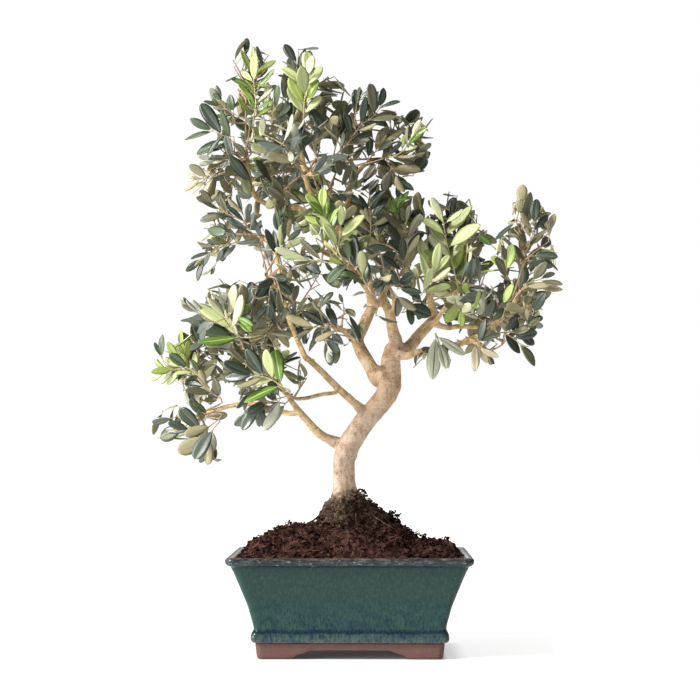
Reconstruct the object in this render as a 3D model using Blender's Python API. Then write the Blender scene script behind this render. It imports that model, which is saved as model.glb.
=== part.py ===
"""Olive bonsai in a glazed rectangular pot.

Sizes are in millimetres and are written to the meshes in metres, +Z up. The
origin is on the ground under the middle of the pot, +X runs along the pot and
-Y is its front. The tree is a tapering trunk with a root flare, main boughs
that each taper, and masses of leaves that grow on seeded twigs from one stem.
"""

import math
import random

import bmesh
import bpy
from mathutils import Vector

MM = 0.001
GAP = 0.3

# pot: half length of the outer wall against height; the depth is less by a step
POT_DEPTH_STEP = 27.5
POT_OUTER = (
    (84.4, 14.3),
    (87.4, 15.4),
    (88.5, 18.0),
    (88.4, 21.4),
    (87.6, 23.8),
    (86.4, 25.6),
    (86.3, 28.5),
    (87.6, 34.5),
    (89.2, 40.5),
    (91.0, 47.0),
    (93.9, 55.1),
    (96.9, 62.8),
    (99.6, 69.6),
    (102.0, 75.6),
    (104.2, 80.4),
    (105.6, 83.2),
    (107.6, 84.2),
    (109.4, 85.9),
    (110.0, 88.2),
    (109.6, 90.2),
    (108.3, 91.3),
)
POT_INNER = (
    (106.4, 91.4),
    (104.4, 90.9),
    (102.9, 89.6),
    (102.1, 87.5),
    (100.6, 82.8),
    (96.2, 74.0),
    (92.6, 65.5),
    (88.8, 56.5),
    (85.6, 47.0),
    (83.0, 38.0),
    (80.6, 29.5),
    (78.4, 24.6),
    (75.4, 22.4),
)
POT_CORNER_AT_RIM = 8.0
POT_CORNER_FALL = 0.11
DRAIN_RADIUS = 10.0
DRAIN_AT = 42.0

# clay base: a floor plate with a bracket foot at each corner
BASE_OUTER = ((81.4, 0.0), (82.7, 1.3), (83.6, 5.0), (84.4, 12.2), (84.4, 14.0))
FOOT_OGEE = ((0.0, 8.3), (3.5, 8.0), (6.5, 6.6), (11.0, 5.2), (15.5, 3.6), (20.0, 0.0), (20.0, -3.0))
FOOT_INNER_X = 32.5
FOOT_INNER_Y = 14.5

# soil: fills the pot and rises in a mound under the trunk
SOIL_EDGE_Z = 87.0
SOIL_RIDGE = (
    (-103.0, 88.0),
    (-88.0, 101.5),
    (-72.5, 110.0),
    (-57.0, 113.6),
    (-38.0, 115.7),
    (42.0, 115.7),
    (53.0, 106.0),
    (64.0, 101.5),
    (88.0, 100.0),
    (103.0, 88.0),
)
GROUND_Z = 116.0
PLATEAU_RADIUS = 45.0
SOIL_SIDE_POINTS = 7
SOIL_END_POINTS = 5

# trunk: centre line, radius at each point, and how far the roots spread it
TRUNK_SIDES = 18
TRUNK = (
    ((2.0, 0.0, 116.0), 36.5, 0.17),
    ((1.6, 0.0, 118.6), 35.0, 0.18),
    ((1.0, 0.0, 122.0), 35.6, 0.19),
    ((0.4, 0.0, 126.6), 33.4, 0.19),
    ((-0.8, 0.0, 131.6), 28.6, 0.18),
    ((-2.6, 0.0, 136.4), 23.0, 0.15),
    ((-4.4, 0.0, 141.6), 16.6, 0.11),
    ((-5.4, -0.4, 148.0), 12.2, 0.05),
    ((-5.9, -1.0, 157.8), 10.5, 0.02),
    ((-6.1, -2.0, 168.0), 10.1, 0.02),
    ((-5.6, -2.6, 178.0), 10.2, 0.02),
    ((-0.9, -2.6, 191.2), 10.3, 0.02),
    ((5.9, -2.0, 202.3), 10.1, 0.02),
    ((13.9, -1.0, 213.5), 10.0, 0.02),
    ((23.4, 0.0, 224.6), 9.9, 0.02),
    ((32.2, 0.6, 235.7), 10.2, 0.02),
    ((36.4, 0.8, 247.2), 10.2, 0.02),
    ((37.0, 0.6, 258.4), 9.8, 0.02),
    ((37.4, 0.2, 269.4), 9.2, 0.02),
    ((40.0, 0.0, 278.4), 8.6, 0.02),
)

# boughs: name, parent, points after the parent, radius at the root and at the tip
TIP = "tip"
SIDE = "side"
BOUGHS = (
    ("low_left_bough", "trunk", SIDE,
     ((-12.0, 0, 192.0), (-28.2, -6, 200.5), (-41.9, -12, 215.2), (-47.3, -14, 221.6)), 4.6, 2.9),
    ("low_left_rising_branch", "low_left_bough", TIP,
     ((-56.0, -19, 234.0), (-66.0, -25, 246.5), (-80.0, -31, 256.0)), 2.5, 1.9),
    ("low_left_level_branch", "low_left_bough", SIDE,
     ((-57.0, -7, 219.6), (-83.7, -4, 227.2), (-97.9, 0, 228.2), (-112.2, 5, 226.5),
      (-128.6, 10, 221.9), (-138.0, 13, 218.6)), 2.4, 1.9),
    ("second_left_bough", "trunk", SIDE,
     ((8.7, -5, 224.8), (-9.5, -20, 240.7), (-27.4, -34, 258.6), (-39.0, -42, 269.2)), 3.7, 2.5),
    ("second_left_spur", "second_left_bough", SIDE,
     ((-13.0, -28, 238.5), (-25.0, -37, 236.5), (-38.0, -47, 233.0), (-46.0, -54, 232.0)), 1.9, 1.7),
    ("arching_left_branch", "second_left_bough", TIP,
     ((-48.0, -43, 285.0), (-57.0, -40, 309.0), (-63.0, -36, 338.6), (-69.0, -31, 368.0),
      (-80.0, -27, 381.0)), 2.4, 1.9),
    ("arching_side_branch", "arching_left_branch", SIDE,
     ((-69.0, -43, 334.0), (-73.0, -50, 341.0)), 1.7, 1.4),
    ("back_bough", "trunk", SIDE,
     ((25.6, 8, 252.5), (16.5, 18, 267.0), (8.5, 28, 281.4), (6.5, 34, 291.1), (12.0, 43, 304.0),
      (18.0, 50, 318.0)), 6.6, 5.0),
    ("back_upper_bough", "back_bough", TIP,
     ((19.5, 52, 334.0), (15.0, 50, 352.0), (3.5, 45, 376.0), (-15.3, 37, 399.2),
      (-29.0, 31, 413.0)), 4.8, 3.6),
    ("back_left_branch", "back_bough", SIDE,
     ((-14.0, 44, 301.0), (-34.0, 66, 316.0), (-46.0, 80, 326.0)), 2.6, 1.9),
    ("back_right_branch", "back_upper_bough", SIDE,
     ((31.0, 62, 344.0), (48.0, 76, 350.0), (62.0, 84, 354.0)), 2.8, 1.9),
    ("centre_bough", "trunk", TIP,
     ((40.0, -1, 286.0), (39.4, -2, 294.9), (36.0, -6, 312.3), (31.0, -9, 323.0)), 5.6, 4.1),
    ("centre_left_branch", "centre_bough", SIDE,
     ((22.5, -15.5, 320.5), (15.0, -23, 333.0), (6.9, -33, 343.5), (-6.5, -47, 355.9),
      (-22.3, -58, 362.8)), 3.0, 2.0),
    ("front_low_branch", "trunk", SIDE,
     ((24.0, -12, 262.0), (12.0, -21, 274.0), (1.0, -28, 286.5), (-8.0, -34, 295.0),
      (-14.0, -44, 299.0)), 2.3, 1.7),
    ("centre_leader_branch", "centre_bough", TIP,
     ((31.6, -8, 333.0), (35.6, -3, 345.0), (40.0, 5, 361.0)), 3.4, 2.2),
    ("front_centre_branch", "centre_bough", SIDE,
     ((39.0, -22, 313.0), (40.0, -41, 321.0), (38.0, -56, 327.0)), 2.4, 1.8),
    ("right_bough", "trunk", SIDE,
     ((52.0, 9, 279.0), (62.0, 16, 291.0), (69.0, 19, 298.5), (75.6, 22, 305.6)), 6.2, 4.7),
    ("right_upper_branch", "right_bough", TIP,
     ((76.0, 23, 316.0), (74.4, 23, 330.0), (80.0, 24, 345.5)), 4.3, 2.4),
    ("right_outer_branch", "right_bough", SIDE,
     ((90.0, 29, 301.0), (104.0, 38, 302.6), (121.9, 48, 302.4)), 2.9, 1.9),
    ("right_rising_branch", "right_bough", SIDE,
     ((80.0, 4, 306.5), (90.8, -7, 322.7), (99.2, -18, 333.0)), 2.2, 1.7),
    ("low_right_bough", "trunk", SIDE,
     ((51.0, -10, 272.4), (60.4, -15, 274.9), (72.9, -22, 277.3), (89.9, -30, 279.6), (101.5, -36, 283.0),
      (121.1, -42, 291.7), (139.8, -46, 307.7), (148.7, -48, 319.3), (151.2, -50, 331.0)), 3.6, 2.0),
    ("low_right_stub_branch", "low_right_bough", SIDE,
     ((110.0, -44, 285.0), (116.0, -48, 280.5), (122.0, -50, 276.5)), 2.0, 1.6),
    ("low_right_drop_spur", "low_right_bough", SIDE,
     ((86.0, -34, 272.6), (90.0, -37, 267.6)), 1.5, 1.2),
    ("top_left_branch", "back_upper_bough", SIDE,
     ((-32.0, 31, 406.0), (-47.0, 28, 413.0), (-62.0, 24, 416.0), (-80.0, 19, 417.6),
      (-91.0, 15, 426.0), (-96.0, 10, 446.0), (-97.6, 7, 456.0)), 2.9, 2.0),
    ("top_bough", "back_upper_bough", TIP,
     ((-34.0, 29, 418.0), (-41.0, 23, 436.4), (-46.0, 18, 462.0), (-47.0, 14, 480.0)), 3.2, 2.1),
    ("top_right_branch", "back_upper_bough", SIDE,
     ((-4.0, 39, 420.0), (1.0, 34, 440.0), (14.0, 27, 456.0), (30.0, 22, 460.0)), 2.4, 1.8),
    ("back_top_branch", "back_upper_bough", SIDE,
     ((-20.0, 50, 416.0), (-21.0, 62, 430.0), (-20.0, 72, 444.0)), 2.4, 1.9),
    ("front_top_branch", "top_bough", SIDE,
     ((-36.0, 6, 445.0), (-32.0, -12, 450.0), (-30.0, -26, 455.0)), 2.1, 1.7),
)
BOUGH_SIDES = 6
BOUGH_STEP = 11.0

# leaf masses: name, bough, middle, reach along x, y and z, number of twigs
MASSES = (
    ("top_left_crown", "top_left_branch", (-98, 6, 520), (42, 46, 53), 6),
    ("top_left_outer_leaves", "top_left_branch", (-117, 0, 454), (38, 46, 54), 6),
    ("top_crown", "top_bough", (-44, 4, 512), (46, 48, 58), 6),
    ("top_right_crown", "top_right_branch", (37, 15, 476), (43, 45, 56), 6),
    ("top_inner_leaves", "back_top_branch", (-8, 52, 470), (44, 42, 66), 6),
    ("back_top_leaves", "back_top_branch", (-66, 88, 464), (54, 38, 70), 6),
    ("front_top_leaves", "front_top_branch", (-40, -58, 432), (50, 44, 60), 7),
    ("arching_left_leaves", "arching_left_branch", (-116, -12, 384), (44, 48, 46), 5),
    ("left_inner_leaves", "arching_side_branch", (-75, -66, 340), (39, 46, 47), 5),
    ("low_left_high_leaves", "low_left_rising_branch", (-94, -32, 304), (50, 52, 48), 6),
    ("low_left_inner_leaves", "second_left_spur", (-76, -66, 250), (44, 42, 42), 6),
    ("low_left_outer_leaves", "low_left_level_branch", (-144, 33, 262), (42, 55, 46), 6),
    ("low_left_tip_leaves", "low_left_level_branch", (-149, 18, 204), (41, 54, 39), 4),
    ("centre_left_leaves", "centre_left_branch", (-22, -84, 368), (48, 40, 50), 6),
    ("centre_low_leaves", "front_low_branch", (-18, -80, 297), (36, 42, 38), 4),
    ("centre_leaves", "centre_leader_branch", (43, 10, 380), (42, 48, 56), 5),
    ("front_centre_leaves", "front_centre_branch", (33, -85, 335), (45, 40, 43), 5),
    ("right_upper_leaves", "right_upper_branch", (98, 25, 378), (44, 47, 53), 6),
    ("right_front_leaves", "right_rising_branch", (106, -48, 332), (41, 44, 45), 4),
    ("right_outer_leaves", "right_outer_branch", (141, 62, 315), (50, 46, 51), 5),
    ("far_right_leaves", "low_right_bough", (155, -58, 372), (40, 52, 53), 6),
    ("far_right_low_leaves", "low_right_bough", (156, -77, 309), (35, 45, 40), 4),
    ("low_right_leaves", "low_right_stub_branch", (139, -56, 280), (40, 43, 32), 4),
    ("low_right_drop_leaves", "low_right_drop_spur", (84, -42, 256), (32, 34, 35), 0),
    ("back_left_leaves", "back_left_branch", (-72, 84, 333), (55, 44, 59), 5),
    ("back_centre_leaves", "back_right_branch", (25, 88, 388), (54, 40, 59), 5),
    ("back_right_leaves", "back_right_branch", (92, 90, 357), (47, 38, 55), 5),
    ("left_back_leaves", "low_left_rising_branch", (-112, 46, 302), (50, 38, 54), 5),
)
SEED = 41
STEM_RADIUS = 1.35
STEM_RINGS = 5
STEM_STEP = 6
STEM_SIDES = 3
STEM_TIP_RADIUS = 0.75
SHARED_STEM_RADIUS = 1.0
SHARED_STEM_OFF = 1.35
TWIG_RADIUS = 1.2
LEAF_LENGTH = 41.0
LEAF_WIDTH = 20.5
LEAF_THICK = 1.5
WIDEST_AT = 0.48
PETIOLE = 0.36
LEAF_SPREAD = 50.0
LEAF_STEP = 19.0
LEAF_TRIES = 9
TWIG_REACH = 0.64
CELL_MARGIN = 0.04
GOLDEN = 2.399963
FLAT_ANGLE = 0.1


def clear_scene():
    for item in list(bpy.data.objects):
        bpy.data.objects.remove(item, do_unlink=True)


def make_material(name, colour, roughness):
    material = bpy.data.materials.new(name)
    material.use_nodes = True
    shader = material.node_tree.nodes["Principled BSDF"]
    shader.inputs["Base Color"].default_value = (*colour, 1.0)
    shader.inputs["Roughness"].default_value = roughness
    return material


def make_collection(name, hidden=False):
    group = bpy.data.collections.new(name)
    group.hide_render = hidden
    bpy.context.scene.collection.children.link(group)
    return group


def make_object(name, verts, faces, group, material=None, smooth=False):
    mesh = bpy.data.meshes.new(name)
    mesh.from_pydata([Vector(v) * MM for v in verts], [], faces)
    work = bmesh.new()
    work.from_mesh(mesh)
    bmesh.ops.recalc_face_normals(work, faces=work.faces[:])
    work.to_mesh(mesh)
    work.free()
    if material:
        mesh.materials.append(material)
    for face in mesh.polygons:
        face.use_smooth = smooth
    item = bpy.data.objects.new(name, mesh)
    group.objects.link(item)
    return item


def loft(rings):
    """Verts and faces through rings of equal length, with a flat cap at each end."""
    verts = [point for ring in rings for point in ring]
    count = len(rings[0])
    faces = []
    for i in range(len(rings) - 1):
        low = i * count
        for j in range(count):
            nxt = (j + 1) % count
            faces.append((low + j, low + nxt, low + count + nxt, low + count + j))
    faces.append(tuple(range(count)))
    faces.append(tuple(range((len(rings) - 1) * count, len(rings) * count)))
    return verts, faces


def rounded_ring(half_x, half_y, corner, z, arc_steps=3, x_steps=1, y_steps=1):
    """A rounded rectangle at one height, with extra points along its sides."""
    ring = []
    sides = ((1, 1, 0.0, x_steps), (-1, 1, 90.0, y_steps), (-1, -1, 180.0, x_steps), (1, -1, 270.0, y_steps))
    arcs = []
    for sx, sy, start, _ in sides:
        cx = sx * (half_x - corner)
        cy = sy * (half_y - corner)
        arc = []
        for k in range(arc_steps + 1):
            angle = math.radians(start + 90.0 * k / arc_steps)
            arc.append(Vector((cx + corner * math.cos(angle), cy + corner * math.sin(angle), z)))
        arcs.append(arc)
    for index, (_, _, _, steps) in enumerate(sides):
        ring.extend(arcs[index])
        end = arcs[index][-1]
        after = arcs[(index + 1) % 4][0]
        for k in range(1, steps):
            ring.append(end.lerp(after, k / steps))
    return ring


def apply_boolean(item, other, operation, solver="EXACT"):
    change = item.modifiers.new("join", "BOOLEAN")
    change.operation = operation
    change.solver = solver
    if isinstance(other, bpy.types.Collection):
        change.operand_type = "COLLECTION"
        change.collection = other
    else:
        change.object = other
    graph = bpy.context.evaluated_depsgraph_get()
    made = bpy.data.meshes.new_from_object(item.evaluated_get(graph))
    item.modifiers.clear()
    old = item.data
    item.data = made
    bpy.data.meshes.remove(old)


def pot_ring(half, z, arc_steps=3, inset=0.0, x_steps=1, y_steps=1):
    corner = POT_CORNER_AT_RIM - (110.0 - half) * POT_CORNER_FALL
    return rounded_ring(half - inset, half - POT_DEPTH_STEP - inset, corner, z, arc_steps, x_steps, y_steps)


def build_pot(group, cutters, glaze):
    rings = [pot_ring(half, z) for half, z in POT_OUTER + POT_INNER]
    verts, faces = loft(rings)
    pot = make_object("pot", verts, faces, group, glaze, smooth=True)
    drill_drains(pot, cutters)


def drill_drains(item, cutters):
    for side in (-1, 1):
        bpy.ops.mesh.primitive_cylinder_add(
            vertices=16,
            radius=DRAIN_RADIUS * MM,
            depth=40.0 * MM,
            location=(side * DRAIN_AT * MM, 0.0, 16.0 * MM),
        )
        drill = bpy.context.active_object
        for owner in list(drill.users_collection):
            owner.objects.unlink(drill)
        cutters.objects.link(drill)
        drill.display_type = "WIRE"
        drill.hide_render = True
        apply_boolean(item, drill, "DIFFERENCE")
        bpy.data.objects.remove(drill, do_unlink=True)


def foot_cutter(name, inner, along_x, cutters):
    """A long prism that leaves a bracket foot on each side of the gap it cuts."""
    half = [(inner + dx, z) for dx, z in FOOT_OGEE]
    outline = half + [(-a, z) for a, z in reversed(half)]
    rings = []
    for end in (-130.0, 130.0):
        if along_x:
            rings.append([Vector((a, end, z)) for a, z in outline])
        else:
            rings.append([Vector((end, a, z)) for a, z in outline])
    verts, faces = loft(rings)
    item = make_object(name, verts, faces, cutters)
    item.display_type = "WIRE"
    item.hide_render = True
    return item


def build_base(group, cutters, clay):
    rings = [pot_ring(half, z) for half, z in BASE_OUTER]
    verts, faces = loft(rings)
    base = make_object("clay_base", verts, faces, group, clay)
    for name, inner, along_x in (("foot_gap_x", FOOT_INNER_X, True), ("foot_gap_y", FOOT_INNER_Y, False)):
        cutter = foot_cutter(name, inner, along_x, cutters)
        apply_boolean(base, cutter, "DIFFERENCE")
        bpy.data.objects.remove(cutter, do_unlink=True)
    drill_drains(base, cutters)


def ridge_height(x):
    for (x0, z0), (x1, z1) in zip(SOIL_RIDGE, SOIL_RIDGE[1:]):
        if x <= x1:
            share = max(0.0, (x - x0) / (x1 - x0))
            return z0 + (z1 - z0) * share
    return SOIL_RIDGE[-1][1]


def soil_height(x, y):
    across = max(0.0, 1.0 - (abs(y) / 75.0) ** 2.4)
    rough = 1.1 * math.sin(x * 0.21 + 1.3) * math.sin(y * 0.27 + 0.4) + 0.9 * math.sin(x * 0.43 + y * 0.31)
    high = SOIL_EDGE_Z + (ridge_height(x) - SOIL_EDGE_Z) * across + rough * across
    away = math.hypot(x - 2.0, y * 1.08)
    level = GROUND_Z - GAP
    if away <= PLATEAU_RADIUS:
        return level
    slope = level - (away - PLATEAU_RADIUS) * 0.82
    return min(max(high, slope, SOIL_EDGE_Z), level)


def build_soil(group, earth):
    steps = {"arc_steps": 1, "x_steps": SOIL_SIDE_POINTS, "y_steps": SOIL_END_POINTS}
    rings = []
    for half, z in reversed(POT_INNER[4:]):
        lift = GAP if half == POT_INNER[-1][0] else 0.0
        rings.append(pot_ring(half, z + lift, inset=GAP * 1.6, **steps))
    wall = pot_ring(POT_INNER[3][0], SOIL_EDGE_Z, inset=GAP * 2.2 + 0.4, **steps)
    rings.append(wall)
    for share in (0.95, 0.88, 0.79, 0.70, 0.61, 0.51, 0.40, 0.28, 0.14):
        ring = []
        for point in wall:
            x = point.x * share
            y = point.y * share
            ring.append(Vector((x, y, soil_height(x, y))))
        rings.append(ring)
    verts, faces = loft(rings)
    make_object("soil", verts, faces, group, earth, smooth=True)


def frame_from(axis, guide):
    side = axis.cross(guide)
    if side.length < 1e-6:
        side = axis.cross(Vector((0.31, 0.95, 0.11)))
    side.normalize()
    return side, side.cross(axis).normalized()


def smooth_path(points, steps=16):
    """Even samples of a curve that passes through every point."""
    dense = []
    last = len(points) - 1
    for i in range(last):
        p1 = points[i]
        p2 = points[i + 1]
        p0 = points[i - 1] if i else p1 + (p1 - p2)
        p3 = points[i + 2] if i + 2 <= last else p2 + (p2 - p1)
        for k in range(steps):
            t = k / steps
            a = p1 * 2.0 + (p2 - p0) * t
            b = (p0 * 2.0 - p1 * 5.0 + p2 * 4.0 - p3) * t * t
            c = (p1 * 3.0 - p0 - p2 * 3.0 + p3) * t * t * t
            dense.append((a + b + c) * 0.5)
    dense.append(points[-1].copy())
    return dense


def resample(path, count):
    lengths = [0.0]
    for a, b in zip(path, path[1:]):
        lengths.append(lengths[-1] + (b - a).length)
    result = []
    j = 0
    for k in range(count):
        want = lengths[-1] * k / (count - 1)
        while j < len(path) - 2 and lengths[j + 1] < want:
            j += 1
        span = max(lengths[j + 1] - lengths[j], 1e-9)
        result.append(path[j].lerp(path[j + 1], (want - lengths[j]) / span))
    return result


def tangents(path):
    result = []
    for i in range(len(path)):
        a = path[max(0, i - 1)]
        b = path[min(len(path) - 1, i + 1)]
        result.append((b - a).normalized())
    return result


def swept_rings(path, radii, sides, chance=None, wobble=0.0, first_axis=None):
    """Rings across a path, each radius at most the one asked for."""
    axes = tangents(path)
    if first_axis is not None:
        axes[0] = first_axis
    side = frame_from(axes[0], Vector((0.2, 0.1, 1.0)) if abs(axes[0].z) < 0.9 else Vector((0, 1, 0)))[0]
    rings = []
    for centre, axis, radius in zip(path, axes, radii):
        side = (side - axis * side.dot(axis)).normalized()
        up = axis.cross(side)
        ring = []
        for j in range(sides):
            angle = 2.0 * math.pi * j / sides
            reach = radius * (1.0 - wobble * chance.random()) if chance else radius
            ring.append(centre + side * (reach * math.cos(angle)) + up * (reach * math.sin(angle)))
        rings.append(ring)
    return rings, axes


def nearest_on(limb, point):
    """Distance from a point to a limb's centre line, and the radius there."""
    best = None
    path = limb["path"]
    radii = limb["radii"]
    for i in range(len(path) - 1):
        a = path[i]
        ab = path[i + 1] - a
        t = max(0.0, min(1.0, (point - a).dot(ab) / ab.length_squared))
        foot = a + ab * t
        far = (point - foot).length
        if best is None or far < best[0]:
            best = (far, radii[i] + (radii[i + 1] - radii[i]) * t, foot)
    return best


def saddle_ring(ring, axis, parent):
    """Slides a limb's first ring back until it stands a gap off its parent."""
    fitted = []
    for point in ring:
        slid = point.copy()
        moved = 0.0
        while moved < 16.0:
            ahead = slid - axis * 0.05
            far, radius, _ = nearest_on(parent, ahead)
            if far < radius + GAP + 0.06:
                break
            slid = ahead
            moved += 0.05
        fitted.append(slid)
    return fitted


def build_trunk(group, bark):
    chance = random.Random(SEED)
    rings = []
    centres = [Vector(centre) for centre, _, _ in TRUNK]
    axes = tangents(centres)
    for index, (_, radius, roots) in enumerate(TRUNK):
        axis = axes[index] if index > 6 else Vector((0, 0, 1))
        side = (Vector((1, 0, 0)) - axis * axis.x).normalized()
        up = axis.cross(side)
        ring = []
        for j in range(TRUNK_SIDES):
            angle = 2.0 * math.pi * j / TRUNK_SIDES
            lobes = math.cos(3.0 * angle + 0.5) + 0.7 * math.cos(5.0 * angle + 2.2)
            reach = radius * (1.0 + roots * (lobes - 1.2) * 0.6)
            reach *= 1.0 - 0.035 * chance.random()
            flat = 0.92 if index < 6 else 1.0
            out = side * math.cos(angle) + up * (flat * math.sin(angle))
            ring.append(centres[index] + out * reach)
        rings.append(ring)
    verts, faces = loft(rings)
    make_object("trunk", verts, faces, group, bark, smooth=True)
    return {"path": centres, "radii": [radius for _, radius, _ in TRUNK], "tip_axis": axes[-1]}


def grow_bough(name, parent, how, points, radius, tip_radius, group, bark):
    """One tapering limb, from 0.3 mm clear of its parent to its tip."""
    chance = random.Random(name)
    waypoints = [Vector(point) for point in points]
    if how == TIP:
        start = parent["path"][-1] + parent["tip_axis"] * GAP
        lead = start + parent["tip_axis"] * radius * 1.2
        dense = smooth_path([start, lead] + waypoints[1:])
        path = resample(dense, max(4, round(path_length(dense) / BOUGH_STEP) + 1))
        first_axis = parent["tip_axis"]
    else:
        foot = nearest_on(parent, waypoints[0])[2]
        dense = smooth_path([foot] + waypoints)
        clear_at = 0
        for i in range(len(dense) - 1):
            axis = (dense[i + 1] - dense[i]).normalized()
            ring, _ = swept_rings([dense[i], dense[i] + axis], [radius, radius], BOUGH_SIDES)
            if all(is_clear(parent, point, GAP + 0.1) for point in ring[0]):
                clear_at = i
                break
        dense = dense[clear_at:]
        path = resample(dense, max(4, round(path_length(dense) / BOUGH_STEP) + 1))
        first_axis = (dense[1] - dense[0]).normalized()
    count = len(path)
    radii = [radius + (tip_radius - radius) * (i / (count - 1)) ** 0.8 for i in range(count)]
    rings, axes = swept_rings(path, radii, BOUGH_SIDES, chance, 0.07, first_axis)
    if how == SIDE:
        rings[0] = saddle_ring(rings[0], first_axis, parent)
    verts, faces = loft(rings)
    if how == SIDE:
        hub = saddle_ring([path[0]], first_axis, parent)[0]
        verts.append(hub)
        faces.pop(-2)
        top = len(verts) - 1
        for j in range(BOUGH_SIDES):
            faces.append((j, (j + 1) % BOUGH_SIDES, top))
    make_object(name, verts, faces, group, bark, smooth=True)
    return {"path": path, "radii": radii, "tip_axis": axes[-1]}


def is_clear(limb, point, margin):
    far, radius, _ = nearest_on(limb, point)
    return far >= radius + margin


def path_length(path):
    return sum((b - a).length for a, b in zip(path, path[1:]))


def space_of(point, mass):
    """Under 1 inside a mass's own reach; the mass with the least value owns the point."""
    _, _, middle, reach, _ = mass
    return math.sqrt(sum(((point[i] - middle[i]) / reach[i]) ** 2 for i in range(3)))


def owns(mass, point, outer=1.0):
    mine = space_of(point, mass)
    if mine > outer:
        return False
    for other in MASSES:
        if other is mass:
            continue
        if space_of(point, other) < mine + CELL_MARGIN:
            return False
    return True


def leaf_frame(axis, guide):
    side = axis.cross(guide).normalized()
    return side, side.cross(axis).normalized()


def leaf_shape(root, axis, up, length, width):
    """A boat of six faces: a flat upper side, a keel under it, and a point at each end."""
    side, normal = leaf_frame(axis, up)
    middle = root + axis * (length * WIDEST_AT) + normal * (length * 0.035)
    tip = root + axis * length - normal * (length * 0.02)
    verts = [
        root - axis * PETIOLE,
        middle + side * (width * 0.5) + normal * (LEAF_THICK * 0.25),
        middle - side * (width * 0.5) + normal * (LEAF_THICK * 0.25),
        middle - normal * (LEAF_THICK * 0.75),
        tip,
    ]
    faces = [(0, 1, 2), (0, 2, 3), (0, 3, 1), (1, 4, 2), (2, 4, 3), (3, 4, 1)]
    return verts, faces


def leaf_samples(root, axis, up, length, width):
    side, normal = leaf_frame(axis, up)
    points = []
    for share, half in ((0.25, 0.26), (WIDEST_AT, 0.5), (0.75, 0.26), (1.0, 0.0)):
        centre = root + axis * (length * share) + normal * (length * 0.03)
        points.append(centre)
        if half:
            points.append(centre + side * (width * half))
            points.append(centre - side * (width * half))
    return points


def blade_half(leaf, along):
    if along <= 0.0 or along >= leaf["length"]:
        return 0.0
    share = along / leaf["length"]
    return leaf["width"] * 0.5 * min(share / WIDEST_AT, (1.0 - share) / (1.0 - WIDEST_AT))


def leaf_hits_limb(leaf, limb, start=0.0):
    """True where a limb passes through the blade, beyond a first stretch of it."""
    for centre, radius in zip(limb["fine"], limb["fine_radii"]):
        away = centre - leaf["root"]
        if away.length > leaf["length"] + radius + 2.0:
            continue
        along = away.dot(leaf["axis"])
        if along < start - radius or along > leaf["length"] + radius + 0.8:
            continue
        if abs(away.dot(leaf["normal"]) - leaf["length"] * 0.02) > radius + 1.9:
            continue
        inside = min(max(along, leaf["length"] * 0.1), leaf["length"] * 0.95)
        if abs(away.dot(leaf["side"])) < blade_half(leaf, inside) + radius + 0.9:
            return True
    return False


def leaves_cross(first, second):
    if (first["centre"] - second["centre"]).length > (first["length"] + second["length"]) * 0.5:
        return False
    for one, two in ((first, second), (second, first)):
        corners = one["outline"]
        for a, b in zip(corners, corners[1:] + corners[:1]):
            da = (a - two["centre"]).dot(two["normal"])
            db = (b - two["centre"]).dot(two["normal"])
            if da * db > 0.0 or abs(da - db) < 1e-9:
                continue
            point = a.lerp(b, da / (da - db)) - two["root"]
            along = point.dot(two["axis"])
            if abs(point.dot(two["side"])) < blade_half(two, along) + 0.5:
                if along > 3.0:
                    return True
    return False


def make_leaf(root, axis, up, length, width):
    side, normal = leaf_frame(axis, up)
    centre = root + axis * (length * 0.5) + normal * (length * 0.03)
    middle = root + axis * (length * WIDEST_AT) + normal * (length * 0.035)
    reach = side * (width * 0.5)
    leaf = {
        "root": root,
        "axis": axis,
        "up": up,
        "side": side,
        "normal": normal,
        "length": length,
        "width": width,
        "centre": centre,
        "outline": [root + axis * 2.5, middle + reach, root + axis * length, middle - reach],
    }
    return leaf


def stem_path(bough, mass, sharing):
    """The stem: from 0.3 mm clear of the bough's tip, through the mass's middle."""
    _, _, middle, reach, _ = mass
    middle = Vector(middle)
    tip = bough["path"][-1]
    axis = bough["tip_axis"]
    start = tip + axis * GAP
    toward = middle - start
    for other in sharing:
        apart = middle - Vector(other[2])
        start += (apart - axis * apart.dot(axis)).normalized() * SHARED_STEM_OFF
    far = toward.length
    ahead = toward.normalized()
    stretch = 1.0 / math.sqrt(sum((ahead[i] / reach[i]) ** 2 for i in range(3)))
    beyond = max(-0.4 * stretch, min(0.3 * stretch, stretch - LEAF_LENGTH))
    end = middle + ahead * beyond + Vector((0, 0, reach[2] * 0.08))
    bend = start + axis * (far * 0.28)
    near = middle - (ahead * 0.7 + Vector((0, 0, 0.25))) * (far * 0.22)
    path = []
    for k in range(25):
        t = k / 24
        s = 1.0 - t
        path.append(start * s ** 3 + bend * (3 * s * s * t) + near * (3 * s * t * t) + end * t ** 3)
    corners = resample(path, STEM_RINGS)
    return resample(corners, STEM_STEP * (STEM_RINGS - 1) + 1)


def tube_object(name, path, radii, group, first_axis=None):
    rings, _ = swept_rings(path, radii, STEM_SIDES, None, 0.0, first_axis)
    verts, faces = loft(rings)
    return make_object(name, verts, faces, group)


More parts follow.
